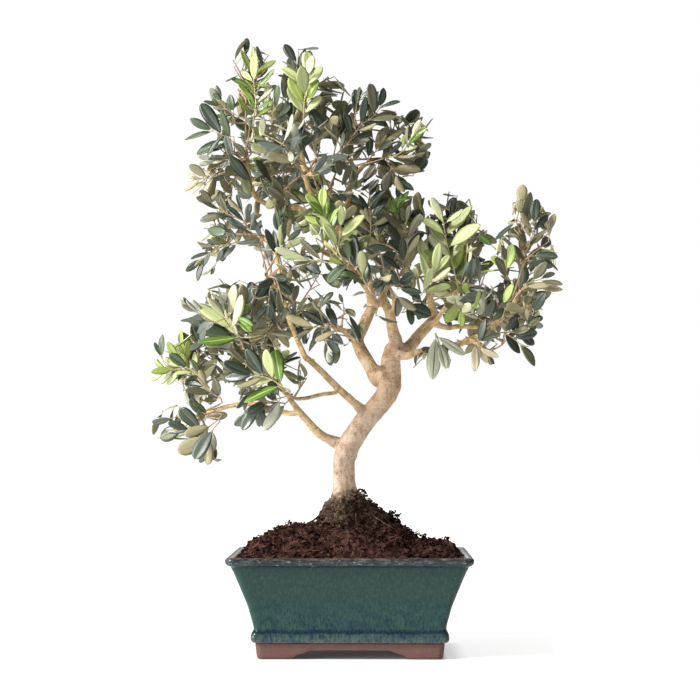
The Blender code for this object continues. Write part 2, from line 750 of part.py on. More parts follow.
def grow_leaves(mass, path, chance, limbs, kept, first_share, bars):
    """Opposite pairs along a twig, each pair turned a quarter from the last."""
    length = path_length(path)
    axes = tangents(path)
    count = max(1, round(length * (1.0 - first_share) / LEAF_STEP))
    turn = chance.uniform(0.0, math.pi)
    for k in range(count + 1):
        last = k == count
        share = first_share + (1.0 - first_share) * k / count
        place = share * (len(path) - 1)
        i = min(int(place), len(path) - 2)
        centre = path[i].lerp(path[i + 1], place - i)
        axis = axes[i].lerp(axes[i + 1], place - i).normalized()
        side, up = frame_from(axis, Vector((0, 0, 1)))
        turn += math.pi / 2 + chance.uniform(-0.25, 0.25)
        for flip in (0.0, math.pi):
            for attempt in range(LEAF_TRIES):
                angle = turn + flip + chance.uniform(-0.2, 0.2) * (1 + attempt)
                out = side * math.cos(angle) + up * math.sin(angle)
                spread = math.radians(LEAF_SPREAD * (0.55 if last else 1.0) + chance.uniform(-12, 12))
                spread += attempt * chance.uniform(-0.06, 0.12)
                direction = (axis * math.cos(spread) + out * math.sin(spread)).normalized()
                size = chance.uniform(0.85, 1.08) * (0.9 if last else 1.0) * (1.0 - 0.035 * attempt)
                size *= 1.0 if mass[4] else 0.78
                span = LEAF_LENGTH * size
                wide = LEAF_WIDTH * size * chance.uniform(0.9, 1.1)
                face_up = (axis + Vector((0, 0, 0.5)) - out * 0.6).normalized()
                root = centre - axis * (1.6 if last else 0.0)
                leaf = make_leaf(root, direction, face_up, span, wide)
                if leaf_fits(mass, leaf, limbs, kept, bars):
                    kept.append(leaf)
                    break


def leaf_fits(mass, leaf, limbs, kept, bars):
    for point in leaf_samples(leaf["root"], leaf["axis"], leaf["up"], leaf["length"], leaf["width"]):
        if space_of(point, mass) > 1.0:
            return False
        if not owns(mass, point):
            return False
    for limb in limbs:
        if leaf_hits_limb(leaf, limb):
            return False
    for bar in bars:
        if leaf_hits_limb(leaf, bar, 4.0):
            return False
    for other in kept:
        if leaves_cross(leaf, other):
            return False
    return True


def twig_fits(mass, path, limbs):
    for point in path[4:]:
        if not owns(mass, point):
            return False
        for limb in limbs:
            for centre, radius in zip(limb["fine"], limb["fine_radii"]):
                if (centre - point).length < radius + 2.0:
                    return False
    return True


def fine_limb(path, radii):
    """Close samples of a limb, for telling how near something passes."""
    fine = []
    fine_radii = []
    for i in range(len(path) - 1):
        steps = max(1, round((path[i + 1] - path[i]).length / 1.5))
        for k in range(steps):
            fine.append(path[i].lerp(path[i + 1], k / steps))
            fine_radii.append(radii[i] + (radii[i + 1] - radii[i]) * k / steps)
    fine.append(path[-1])
    fine_radii.append(radii[-1])
    return fine, fine_radii


def grow_mass(mass, stem, limbs, group, leaf_material):
    """Twigs from one stem towards points spread over the space, leaves fused on."""
    name, _, middle, reach, twigs = mass
    chance = random.Random(f"{SEED} {name}")
    middle = Vector(middle)
    kept = []
    tubes = []
    path = stem["path"]
    lengths = [0.0]
    for a, b in zip(path, path[1:]):
        lengths.append(lengths[-1] + (b - a).length)
    offset = chance.uniform(0.0, 6.28)
    for k in range(twigs):
        high = 1.0 - 2.0 * (k + 0.5) / twigs
        flat = math.sqrt(1.0 - high * high)
        angle = offset + GOLDEN * k
        aim = Vector((flat * math.cos(angle), flat * math.sin(angle), high))
        target = middle + Vector([aim[i] * reach[i] * TWIG_REACH for i in range(3)])
        near = min(range(len(path)), key=lambda i: (path[i] - target).length)
        far = (path[near] - target).length
        if far < 7.0:
            continue
        want = max(lengths[-1] * 0.12, min(lengths[near] - far * 0.55, lengths[-1] * 0.9))
        i = min(range(len(path)), key=lambda n: abs(lengths[n] - want))
        start = path[i]
        twig = [start.lerp(target, n / 12) for n in range(13)]
        if not twig_fits(mass, twig, limbs):
            continue
        tubes.append(twig)
    bars = [{"fine": twig, "fine_radii": [TWIG_RADIUS] * len(twig)} for twig in tubes]
    own = {"fine": stem["fine"], "fine_radii": stem["fine_radii"]}
    for number, twig in enumerate(tubes):
        others = bars[:number] + bars[number + 1:] + [own]
        grow_leaves(mass, twig, chance, limbs, kept, 0.4, others)
    grow_leaves(mass, path[len(path) // 2:], chance, limbs, kept, 0.5, bars)
    joined = bpy.data.collections.new("join_" + name)
    bpy.context.scene.collection.children.link(joined)
    stem_item = tube_object(name, path[::STEM_STEP], stem["mesh_radii"], group, stem["first_axis"])
    for number, twig in enumerate(tubes):
        tube_object(f"{name}_twig_{number}", (twig[0], twig[-1]), (TWIG_RADIUS, TWIG_RADIUS * 0.8), joined)
    for number, leaf in enumerate(kept):
        verts, faces = leaf_shape(leaf["root"], leaf["axis"], leaf["up"], leaf["length"], leaf["width"])
        make_object(f"{name}_leaf_{number}", verts, faces, joined)
    apply_boolean(stem_item, joined, "UNION", "MANIFOLD")
    for item in list(joined.objects):
        bpy.data.objects.remove(item, do_unlink=True)
    bpy.data.collections.remove(joined)
    keep_main_body(stem_item)
    stem_item.data.materials.clear()
    stem_item.data.materials.append(leaf_material)


def keep_main_body(item):
    """Drops loose scraps, so that the node is one body."""
    work = bmesh.new()
    work.from_mesh(item.data)
    bmesh.ops.triangulate(work, faces=work.faces[:])
    left = set(work.verts)
    bodies = []
    while left:
        seed = left.pop()
        body = {seed}
        edge = [seed]
        while edge:
            vert = edge.pop()
            for link in vert.link_edges:
                other = link.other_vert(vert)
                if other in left:
                    left.discard(other)
                    body.add(other)
                    edge.append(other)
        bodies.append(body)
    bodies.sort(key=len)
    for body in bodies[:-1]:
        bmesh.ops.delete(work, geom=list(body), context="VERTS")
    bmesh.ops.dissolve_limit(
        work,
        angle_limit=FLAT_ANGLE,
        use_dissolve_boundaries=False,
        verts=work.verts[:],
        edges=work.edges[:],
    )
    bmesh.ops.triangulate(work, faces=work.faces[:])
    work.to_mesh(item.data)
    work.free()


def main():
    clear_scene()
    group = make_collection("olive_bonsai")
    cutters = make_collection("cutters", hidden=True)
    glaze = make_material("glaze", (0.045, 0.135, 0.125), 0.18)
    clay = make_material("clay", (0.23, 0.10, 0.075), 0.75)
    earth = make_material("soil", (0.045, 0.022, 0.016), 0.95)
    bark = make_material("bark", (0.42, 0.32, 0.22), 0.8)
    leaf = make_material("leaf", (0.10, 0.15, 0.09), 0.55)
    build_pot(group, cutters, glaze)
    build_base(group, cutters, clay)
    build_soil(group, earth)
    limbs = {"trunk": build_trunk(group, bark)}
    for name, parent, how, points, radius, tip_radius in BOUGHS:
        limbs[name] = grow_bough(name, limbs[parent], how, points, radius, tip_radius, group, bark)
    for limb in limbs.values():
        limb["fine"], limb["fine_radii"] = fine_limb(limb["path"], limb["radii"])
    stems = {}
    for mass in MASSES:
        name, bough_name, _, _, _ = mass
        sharing = [other for other in MASSES if other[1] == bough_name and other[0] != name]
        bough = limbs[bough_name]
        path = stem_path(bough, mass, sharing)
        thick = SHARED_STEM_RADIUS if sharing else min(STEM_RADIUS, bough["radii"][-1] * 0.95)
        last = len(path) - 1
        radii = [thick + (STEM_TIP_RADIUS - thick) * i / last for i in range(last + 1)]
        stem = {"path": path, "radii": radii, "first_axis": bough["tip_axis"]}
        stem["mesh_radii"] = [thick + (1.0 - thick) * i / (STEM_RINGS - 1) for i in range(STEM_RINGS)]
        stem["fine"], stem["fine_radii"] = fine_limb(path, radii)
        stems[name] = stem
    for mass in MASSES:
        near = list(limbs.values())
        near += [stem for name, stem in stems.items() if name != mass[0]]
        grow_mass(mass, stems[mass[0]], near, group, leaf)


main()
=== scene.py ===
"""Looks of an olive bonsai in a glazed rectangular pot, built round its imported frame.

Sizes are in millimetres and are written to the meshes in metres, +Z up. The
limbs, twigs and leaves grow by the same rule as the frame's solids: a trunk,
boughs that each taper, and masses of leaves on seeded twigs from one stem.
"""

import math
import random

import bmesh
import bpy
import numpy as np
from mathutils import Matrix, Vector, kdtree, noise


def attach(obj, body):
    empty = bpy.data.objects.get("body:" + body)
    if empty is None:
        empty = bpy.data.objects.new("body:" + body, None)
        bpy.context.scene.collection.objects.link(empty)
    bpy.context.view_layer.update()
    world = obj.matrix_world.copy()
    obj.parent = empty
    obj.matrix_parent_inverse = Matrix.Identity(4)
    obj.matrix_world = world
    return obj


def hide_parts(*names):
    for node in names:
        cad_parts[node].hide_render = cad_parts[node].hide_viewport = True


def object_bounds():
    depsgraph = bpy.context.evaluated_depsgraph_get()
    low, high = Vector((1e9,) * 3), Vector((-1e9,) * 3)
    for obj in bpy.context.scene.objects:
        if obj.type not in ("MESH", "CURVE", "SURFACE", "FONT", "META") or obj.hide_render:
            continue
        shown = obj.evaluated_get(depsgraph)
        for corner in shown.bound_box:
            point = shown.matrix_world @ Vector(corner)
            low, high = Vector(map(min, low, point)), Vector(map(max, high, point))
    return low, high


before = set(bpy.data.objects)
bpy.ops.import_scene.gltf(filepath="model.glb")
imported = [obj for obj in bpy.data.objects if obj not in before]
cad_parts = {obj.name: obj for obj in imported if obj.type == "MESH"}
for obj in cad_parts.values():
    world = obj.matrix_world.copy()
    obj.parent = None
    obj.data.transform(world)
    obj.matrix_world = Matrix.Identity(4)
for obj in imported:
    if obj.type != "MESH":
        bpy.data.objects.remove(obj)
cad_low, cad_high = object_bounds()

MM = 0.001
GAP = 0.3
GOLDEN = 2.399963
UP = Vector((0.0, 0.0, 1.0))

# camera: where the photograph was taken from
PHOTO_SIDE_PX = 700
FOCAL_PX = 1769.0
HORIZON_BELOW_MIDDLE_PX = 83.0
SENSOR_WIDTH = 36.0
CAMERA_PLACE = (20.0, -1640.0, 201.4)
CAMERA_TURN_DEG = 0.7196

# pot: half length of the outer wall against height; the depth is less by a step
POT_DEPTH_STEP = 27.5
POT_OUTER = (
    (84.4, 14.3),
    (87.4, 15.4),
    (88.5, 18),
    (88.4, 21.4),
    (87.6, 23.8),
    (86.4, 25.6),
    (86.3, 28.5),
    (87.6, 34.5),
    (89.2, 40.5),
    (91, 47),
    (93.9, 55.1),
    (96.9, 62.8),
    (99.6, 69.6),
    (102, 75.6),
    (104.2, 80.4),
    (105.6, 83.2),
    (107.6, 84.2),
    (109.4, 85.9),
    (110, 88.2),
    (109.6, 90.2),
    (108.3, 91.3),
)
POT_INNER = (
    (106.4, 91.4),
    (104.4, 90.9),
    (102.9, 89.6),
    (102.1, 87.5),
    (100.6, 82.8),
    (96.2, 74),
    (92.6, 65.5),
    (88.8, 56.5),
    (85.6, 47),
    (83, 38),
    (80.6, 29.5),
    (78.4, 24.6),
    (75.4, 22.4),
)
POT_RIM_HALF = 110.0
POT_CORNER_AT_RIM = 8.0
POT_CORNER_FALL = 0.11
DRAIN_RADIUS = 10.0
DRAIN_AT = 42.0

# clay base: a floor plate with a bracket foot at each corner
BASE_OUTER = ((81.4, 0), (82.7, 1.3), (83.6, 5), (84.4, 12.2), (84.4, 14))
FOOT_OGEE = ((0, 8.3), (3.5, 8), (6.5, 6.6), (11, 5.2), (15.5, 3.6), (20, 0), (20, -3))
FOOT_INNER_X = 32.5
FOOT_INNER_Y = 14.5

# soil: fills the pot and rises in a mound under the trunk
SOIL_EDGE_Z = 87.0
SOIL_RIDGE = (
    (-103, 88),
    (-88, 101.5),
    (-72.5, 110),
    (-57, 113.6),
    (-38, 115.7),
    (42, 115.7),
    (53, 106),
    (64, 101.5),
    (88, 100),
    (103, 88),
)
GROUND_Z = 116.0
PLATEAU_RADIUS = 45.0

# trunk: centre line, radius at each point, and how far the roots spread it
TRUNK = (
    ((2, 0, 116), 36.5, 0.17),
    ((1.6, 0, 118.6), 35, 0.18),
    ((1, 0, 122), 35.6, 0.19),
    ((0.4, 0, 126.6), 33.4, 0.19),
    ((-0.8, 0, 131.6), 28.6, 0.18),
    ((-2.6, 0, 136.4), 23, 0.15),
    ((-4.4, 0, 141.6), 16.6, 0.11),
    ((-5.4, -0.4, 148), 12.2, 0.05),
    ((-5.9, -1, 157.8), 10.5, 0.02),
    ((-6.1, -2, 168), 10.1, 0.02),
    ((-5.6, -2.6, 178), 10.2, 0.02),
    ((-0.9, -2.6, 191.2), 10.3, 0.02),
    ((5.9, -2, 202.3), 10.1, 0.02),
    ((13.9, -1, 213.5), 10, 0.02),
    ((23.4, 0, 224.6), 9.9, 0.02),
    ((32.2, 0.6, 235.7), 10.2, 0.02),
    ((36.4, 0.8, 247.2), 10.2, 0.02),
    ((37, 0.6, 258.4), 9.8, 0.02),
    ((37.4, 0.2, 269.4), 9.2, 0.02),
    ((40, 0, 278.4), 8.6, 0.02),
)
FLARE_ROWS = 6

# boughs: name, parent, points after the parent, radius at the root and at the tip
TIP = "tip"
SIDE = "side"
BOUGHS = (
    ("low_left_bough", "trunk", SIDE,
     ((-12, 0, 192), (-28.2, -6, 200.5), (-41.9, -12, 215.2), (-47.3, -14, 221.6)), 4.6, 2.9),
    ("low_left_rising_branch", "low_left_bough", TIP,
     ((-56, -19, 234), (-66, -25, 246.5), (-80, -31, 256)), 2.5, 1.9),
    ("low_left_level_branch", "low_left_bough", SIDE,
     ((-57, -7, 219.6), (-83.7, -4, 227.2), (-97.9, 0, 228.2), (-112.2, 5, 226.5),
      (-128.6, 10, 221.9), (-138, 13, 218.6)), 2.4, 1.9),
    ("second_left_bough", "trunk", SIDE,
     ((8.7, -5, 224.8), (-9.5, -20, 240.7), (-27.4, -34, 258.6), (-39, -42, 269.2)), 3.7, 2.5),
    ("second_left_spur", "second_left_bough", SIDE,
     ((-13, -28, 238.5), (-25, -37, 236.5), (-38, -47, 233), (-46, -54, 232)), 1.9, 1.7),
    ("arching_left_branch", "second_left_bough", TIP,
     ((-48, -43, 285), (-57, -40, 309), (-63, -36, 338.6), (-69, -31, 368),
      (-80, -27, 381)), 2.4, 1.9),
    ("arching_side_branch", "arching_left_branch", SIDE,
     ((-69, -43, 334), (-73, -50, 341)), 1.7, 1.4),
    ("back_bough", "trunk", SIDE,
     ((25.6, 8, 252.5), (16.5, 18, 267), (8.5, 28, 281.4), (6.5, 34, 291.1), (12, 43, 304),
      (18, 50, 318)), 6.6, 5),
    ("back_upper_bough", "back_bough", TIP,
     ((19.5, 52, 334), (15, 50, 352), (3.5, 45, 376), (-15.3, 37, 399.2),
      (-29, 31, 413)), 4.8, 3.6),
    ("back_left_branch", "back_bough", SIDE,
     ((-14, 44, 301), (-34, 66, 316), (-46, 80, 326)), 2.6, 1.9),
    ("back_right_branch", "back_upper_bough", SIDE,
     ((31, 62, 344), (48, 76, 350), (62, 84, 354)), 2.8, 1.9),
    ("centre_bough", "trunk", TIP,
     ((40, -1, 286), (39.4, -2, 294.9), (36, -6, 312.3), (31, -9, 323)), 5.6, 4.1),
    ("centre_left_branch", "centre_bough", SIDE,
     ((22.5, -15.5, 320.5), (15, -23, 333), (6.9, -33, 343.5), (-6.5, -47, 355.9),
      (-22.3, -58, 362.8)), 3, 2),
    ("front_low_branch", "trunk", SIDE,
     ((24, -12, 262), (12, -21, 274), (1, -28, 286.5), (-8, -34, 295),
      (-14, -44, 299)), 2.3, 1.7),
    ("centre_leader_branch", "centre_bough", TIP,
     ((31.6, -8, 333), (35.6, -3, 345), (40, 5, 361)), 3.4, 2.2),
    ("front_centre_branch", "centre_bough", SIDE,
     ((39, -22, 313), (40, -41, 321), (38, -56, 327)), 2.4, 1.8),
    ("right_bough", "trunk", SIDE,
     ((52, 9, 279), (62, 16, 291), (69, 19, 298.5), (75.6, 22, 305.6)), 6.2, 4.7),
    ("right_upper_branch", "right_bough", TIP,
     ((76, 23, 316), (74.4, 23, 330), (80, 24, 345.5)), 4.3, 2.4),
    ("right_outer_branch", "right_bough", SIDE,
     ((90, 29, 301), (104, 38, 302.6), (121.9, 48, 302.4)), 2.9, 1.9),
    ("right_rising_branch", "right_bough", SIDE,
     ((80, 4, 306.5), (90.8, -7, 322.7), (99.2, -18, 333)), 2.2, 1.7),
    ("low_right_bough", "trunk", SIDE,
     ((51, -10, 272.4), (60.4, -15, 274.9), (72.9, -22, 277.3), (89.9, -30, 279.6), (101.5, -36, 283),
      (121.1, -42, 291.7), (139.8, -46, 307.7), (148.7, -48, 319.3), (151.2, -50, 331)), 3.6, 2),
    ("low_right_stub_branch", "low_right_bough", SIDE,
     ((110, -44, 285), (116, -48, 280.5), (122, -50, 276.5)), 2, 1.6),
    ("low_right_drop_spur", "low_right_bough", SIDE,
     ((86, -34, 272.6), (90, -37, 267.6)), 1.5, 1.2),
    ("top_left_branch", "back_upper_bough", SIDE,
     ((-32, 31, 406), (-47, 28, 413), (-62, 24, 416), (-80, 19, 417.6),
      (-91, 15, 426), (-96, 10, 446), (-97.6, 7, 456)), 2.9, 2),
    ("top_bough", "back_upper_bough", TIP,
     ((-34, 29, 418), (-41, 23, 436.4), (-46, 18, 462), (-47, 14, 480)), 3.2, 2.1),
    ("top_right_branch", "back_upper_bough", SIDE,
     ((-4, 39, 420), (1, 34, 440), (14, 27, 456), (30, 22, 460)), 2.4, 1.8),
    ("back_top_branch", "back_upper_bough", SIDE,
     ((-20, 50, 416), (-21, 62, 430), (-20, 72, 444)), 2.4, 1.9),
    ("front_top_branch", "top_bough", SIDE,
     ((-36, 6, 445), (-32, -12, 450), (-30, -26, 455)), 2.1, 1.7),
)
BOUGH_SIDES = 6
BOUGH_STEP = 11.0

# leaf masses: name, bough, middle, reach along x, y and z, number of twigs
MASSES = (
    ("top_left_crown", "top_left_branch", (-98, 6, 520), (42, 46, 53), 6),
    ("top_left_outer_leaves", "top_left_branch", (-117, 0, 454), (38, 46, 54), 6),
    ("top_crown", "top_bough", (-44, 4, 512), (46, 48, 58), 6),
    ("top_right_crown", "top_right_branch", (37, 15, 476), (43, 45, 56), 6),
    ("top_inner_leaves", "back_top_branch", (-8, 52, 470), (44, 42, 66), 6),
    ("back_top_leaves", "back_top_branch", (-66, 88, 464), (54, 38, 70), 6),
    ("front_top_leaves", "front_top_branch", (-40, -58, 432), (50, 44, 60), 7),
    ("arching_left_leaves", "arching_left_branch", (-116, -12, 384), (44, 48, 46), 5),
    ("left_inner_leaves", "arching_side_branch", (-75, -66, 340), (39, 46, 47), 5),
    ("low_left_high_leaves", "low_left_rising_branch", (-94, -32, 304), (50, 52, 48), 6),
    ("low_left_inner_leaves", "second_left_spur", (-76, -66, 250), (44, 42, 42), 6),
    ("low_left_outer_leaves", "low_left_level_branch", (-144, 33, 262), (42, 55, 46), 6),
    ("low_left_tip_leaves", "low_left_level_branch", (-149, 18, 204), (41, 54, 39), 4),
    ("centre_left_leaves", "centre_left_branch", (-22, -84, 368), (48, 40, 50), 6),
    ("centre_low_leaves", "front_low_branch", (-18, -80, 297), (36, 42, 38), 4),
    ("centre_leaves", "centre_leader_branch", (43, 10, 380), (42, 48, 56), 5),
    ("front_centre_leaves", "front_centre_branch", (33, -85, 335), (45, 40, 43), 5),
    ("right_upper_leaves", "right_upper_branch", (98, 25, 378), (44, 47, 53), 6),
    ("right_front_leaves", "right_rising_branch", (106, -48, 332), (41, 44, 45), 4),
    ("right_outer_leaves", "right_outer_branch", (141, 62, 315), (50, 46, 51), 5),
    ("far_right_leaves", "low_right_bough", (155, -58, 372), (40, 52, 53), 6),
    ("far_right_low_leaves", "low_right_bough", (156, -77, 309), (35, 45, 40), 4),
    ("low_right_leaves", "low_right_stub_branch", (139, -56, 280), (40, 43, 32), 4),
    ("low_right_drop_leaves", "low_right_drop_spur", (84, -42, 256), (32, 34, 35), 0),
    ("back_left_leaves", "back_left_branch", (-72, 84, 333), (55, 44, 59), 5),
    ("back_centre_leaves", "back_right_branch", (25, 88, 388), (54, 40, 59), 5),
    ("back_right_leaves", "back_right_branch", (92, 90, 357), (47, 38, 55), 5),
    ("left_back_leaves", "low_left_rising_branch", (-112, 46, 302), (50, 38, 54), 5),
)

# growth, as in the frame's solids
SEED = 41
STEM_RADIUS = 1.35
LEAF_LENGTH_IN_FRAME = 41.0
TWIG_RADIUS = 1.2
TWIG_REACH = 0.64
CELL_MARGIN = 0.02

# growth carried finer than in the solids
LEAF_LENGTH = 31.0
LEAF_SHARE = 0.42
LEAF_STEP = 9.5
LEAF_SPREAD = 50.0
LEAF_TRIES = 7
MORE_TWIGS = 1.2
# how far the leaves of a shoot spread to the front and back, against to its sides
FILLING_DEPTH = 0.8
SPRAY_DEPTH = 0.55
SPRAY_SPREAD = 38.0
FRONT = Vector((0.0, -1.0, 0.25))
LEAF_THICK = 0.4
TURNED_OVER = 0.2
PETIOLE_LENGTH = 2.8
PETIOLE_RADIUS = 0.45
SIDE_TWIG_LENGTH = (16.0, 30.0)
SIDE_TWIG_STEP = 13.0
SIDE_TWIG_RADIUS = 0.75
TWIG_TIP_RADIUS = 0.35
LEADER_REACH = 0.86

# shoots that stand out, by mass: depth, points across and up, where their leaves begin, tints,
# leaf length and its width share
SPRAYS = {
    "top_left_crown": (
        (-10, ((-91, 474), (-90, 492), (-88, 508), (-90, 527), (-91, 540)), 0.3,
         "lime young vivid", 22, 0.32),
    ),
    "top_left_outer_leaves": (
        (-12, ((-92, 462), (-104, 468), (-116, 476), (-127, 481)), 0.55, "dark dark green", 33, 0.32),
        (-16, ((-96, 455), (-110, 454), (-124, 453)), 0.45, "green blue", 22, 0.36),
        (-6, ((-94, 488), (-105, 496), (-114, 502), (-119, 506)), 0.6, "green olive", 19, 0.56),
        (-12, ((-112, 446), (-128, 438), (-138, 437)), 0.6, "straw", 22, 0.32),
    ),
    "top_crown": (
        (-18, ((-44, 482), (-43, 498), (-42, 516), (-40, 530)), 0.3, "young lime young", 29, 0.48),
    ),
    "top_right_crown": (
        (-4, ((-14, 456), (-3, 470), (9, 487), (20, 495), (27, 503)), 0.3, "olive dark", 25, 0.42),
        (-8, ((0, 448), (18, 452), (35, 457), (50, 458), (58, 459)), 0.5, "olive dark", 19, 0.3),
        (-10, ((36, 457), (48, 462), (56, 474)), 0.5, "young vivid", 19, 0.4),
        (0, ((12, 450), (22, 462), (28, 471)), 0.3, "dark olive", 26, 0.42),
        (-4, ((7, 487), (5, 500), (6, 509)), 0.6, "dark green", 24, 0.36),
        (-8, ((34, 453), (41, 443), (44, 436)), 0.4, "olive dark", 22, 0.4),
    ),
    "centre_leaves": (
        (-6, ((20, 371), (19, 394), (18, 413), (17, 425)), 0.3, "dark lime", 20, 0.42),
        (-22, ((49, 332), (49, 358), (51, 378), (51, 392)), 0.3, "dark olive", 25, 0.4),
    ),
    "centre_left_leaves": (
        (-96, ((-10, 358), (-15, 370), (-19, 386), (-23, 396)), 0.5, "lime vivid", 22, 0.48),
        (-100, ((-6, 352), (-10, 362), (-8, 374), (-8, 380)), 0.45, "young young", 28, 0.42),
        (-98, ((-14, 351), (-26, 352), (-36, 353)), 0.45, "vivid lime olive", 34, 0.26),
    ),
    "front_centre_leaves": (
        (-98, ((23, 321), (11, 338), (1, 350), (-7, 354)), 0.25, "dark green", 30, 0.42),
        (-70, ((38, 327), (44, 321), (50, 316)), 0.3, "dark green", 25, 0.52),
    ),
    "centre_low_leaves": (
        (-92, ((6, 281), (-5, 291), (-21, 294), (-30, 294)), 0.5, "olive dark", 27, 0.34),
    ),
    "right_front_leaves": (
        (-62, ((48, 309), (61, 322), (69, 331), (75, 343)), 0.6, "young green", 28, 0.36),
    ),
    "right_upper_leaves": (
        (-14, ((99, 329), (95, 353), (89, 376), (86, 394)), 0.35, "young lime young", 36, 0.4),
        (-14, ((84, 336), (79, 346), (72, 356)), 0.6, "young young", 36, 0.36),
    ),
    "far_right_leaves": (
        (-62, ((145, 320), (152, 342), (158, 363), (164, 380), (165, 388)), 0.4,
         "olive dark olive", 23, 0.38),
        (-70, ((155, 341), (141, 337), (139, 352)), 0.3, "olive lime", 22, 0.46),
    ),
    "far_right_low_leaves": (
        (-90, ((143, 314), (155, 331), (167, 336), (174, 338)), 0.3, "olive dark", 24, 0.4),
    ),
    "low_right_leaves": (
        (-66, ((127, 289), (141, 291), (153, 291), (158, 298)), 0.3, "olive dark", 21, 0.5),
        (-66, ((138, 290), (146, 285), (151, 281)), 0.5, "dark olive", 24, 0.52),
        (-60, ((112, 285), (112, 282), (114, 278)), 0.6, "straw", 26, 0.32),
    ),
    "low_right_drop_leaves": (
        (-52, ((77, 291), (77, 289), (80, 283)), 0.9, "pale", 34, 0.34),
    ),
    "left_inner_leaves": (
        (-66, ((-70, 352), (-64, 362), (-58, 371)), 0.4, "dark green", 28, 0.36),
    ),
    "arching_left_leaves": (
        (-30, ((-63, 323), (-62, 350), (-68, 370), (-81, 378), (-92, 387), (-98, 401)), 0.1,
         "blue dark blue", 25, 0.3),
        (-24, ((-97, 395), (-112, 402), (-125, 410)), 0.3, "blue olive", 22, 0.36),
        (-20, ((-92, 379), (-108, 376), (-116, 374)), 0.5, "green blue", 22, 0.36),
        (-20, ((-116, 374), (-128, 368), (-134, 363)), 0.6, "blue dark", 24, 0.3),
    ),
    "low_left_high_leaves": (
        (-52, ((-77, 289), (-95, 287), (-104, 291), (-110, 303)), 0.55, "young vivid", 38, 0.34),
        (-44, ((-118, 300), (-131, 306), (-141, 311)), 0.5, "blue dark", 24, 0.26),
    ),
    "low_left_inner_leaves": (
        (-60, ((-74, 240), (-79, 231), (-81, 224)), 0.5, "blue dark", 28, 0.4),
        (-84, ((-52, 238), (-60, 243), (-72, 250), (-84, 252)), 0.3, "young vivid dark", 30, 0.38),
        (-80, ((-50, 235), (-62, 232), (-72, 228)), 0.5, "blue dark", 27, 0.42),
    ),
    "low_left_outer_leaves": (
        (6, ((-132, 242), (-140, 253), (-152, 262), (-162, 261), (-171, 259)), 0.3,
         "lime green young", 22, 0.4),
        (6, ((-166, 260), (-173, 265), (-176, 271)), 0.5, "vivid green", 22, 0.36),
        (0, ((-119, 230), (-128, 238), (-134, 244)), 0.2, "dark olive", 23, 0.44),
    ),
    "low_left_tip_leaves": (
        (-6, ((-121, 214), (-127, 205), (-131, 198)), 0.6, "dark blue", 31, 0.54),
        (0, ((-119, 219), (-129, 209), (-138, 203), (-148, 204)), 0.45, "dark blue", 31, 0.44),
    ),
}

# open between the sprays, as it looks from the front: across, up, half width, half height
OPENINGS = (
    (-136, 545, 32, 19), (-74, 560, 6, 17), (-5, 548, 28, 16), (50, 519, 31, 18), (-155, 456, 15, 22),
    (-146, 436, 9, 10), (-110, 521, 10, 9), (-152, 501, 8, 8), (-144, 477, 15, 9), (-21, 468, 10, 7),
    (-16, 434, 8, 8), (-154, 397, 21, 20), (-152, 359, 19, 17), (-97, 355, 28, 13), (-107, 367, 13, 11),
    (-78, 401, 6, 5), (-153, 328, 15, 15), (-32, 337, 11, 6), (-12, 304, 11, 9), (-36, 272, 10, 12),
    (-2, 275, 7, 14), (25, 283, 11, 22), (-24, 243, 19, 20), (-19, 223, 24, 28), (-170, 234, 15, 15),
    (-114, 239, 8, 7), (-166, 179, 26, 15), (-108, 200, 20, 17), (-177, 222, 13, 6), (87, 246, 33, 28),
    (133, 409, 18, 20), (128, 370, 6, 7), (130, 343, 9, 6), (202, 384, 15, 17), (196, 304, 19, 28),
    (173, 276, 22, 19), (143, 276, 11, 15), (150, 261, 20, 6),
)
# open down to a depth only: the same, and the depth
SHALLOW_OPENINGS = (
    (-45, 433, 16, 23, 36), (12, 345, 9, 10, -8), (26, 320, 9, 14, -8), (74, 312, 9, 15, 18),
)
THROUGH = 1000

REGIONS = {
    "top": ("top_left_crown", "top_left_outer_leaves", "top_crown", "top_right_crown", "front_top_leaves"),
    "left": ("arching_left_leaves", "left_inner_leaves", "low_left_high_leaves", "low_left_inner_leaves",
             "low_left_outer_leaves", "low_left_tip_leaves"),
    "centre": ("centre_left_leaves", "centre_low_leaves", "centre_leaves", "front_centre_leaves",
               "top_inner_leaves"),
    "right": ("right_upper_leaves", "right_front_leaves", "right_outer_leaves", "far_right_leaves",
              "far_right_low_leaves", "low_right_leaves", "low_right_drop_leaves"),
    "back": ("back_top_leaves", "back_left_leaves", "back_centre_leaves", "back_right_leaves",
             "left_back_leaves"),
}


# ---------------------------------------------------------------- meshes

TINY = 1e-6
OTHER_GUIDE = Vector((0.31, 0.95, 0.11))


class Batch:
    """Verts, faces and material slots of many small things that become one mesh."""

    def __init__(self):
        self.verts = []
        self.faces = []
        self.slots = []

    def add(self, verts, faces, slots):
        base = len(self.verts)
        self.verts.extend(verts)
        self.faces.extend(tuple(base + i for i in face) for face in faces)
        if isinstance(slots, int):
            self.slots.extend([slots] * len(faces))
        else:
            self.slots.extend(slots)


def add_item(name, data):
    """A new object of the scene."""
    item = bpy.data.objects.new(name, data)
    bpy.context.scene.collection.objects.link(item)
    return item


def add_mesh(name, verts, faces, materials, slots=None, smooth=True):
    """An object from verts in millimetres."""
    mesh = bpy.data.meshes.new(name)
    mesh.from_pydata([(v[0] * MM, v[1] * MM, v[2] * MM) for v in verts], [], faces)
    for material in materials:
        mesh.materials.append(material)
    if slots is not None:
        mesh.polygons.foreach_set("material_index", slots)
    mesh.polygons.foreach_set("use_smooth", [smooth] * len(mesh.polygons))
    mesh.update()
    return add_item(name, mesh)


def add_batch(name, batch, materials, smooth=True):
    return add_mesh(name, batch.verts, batch.faces, materials, batch.slots, smooth)


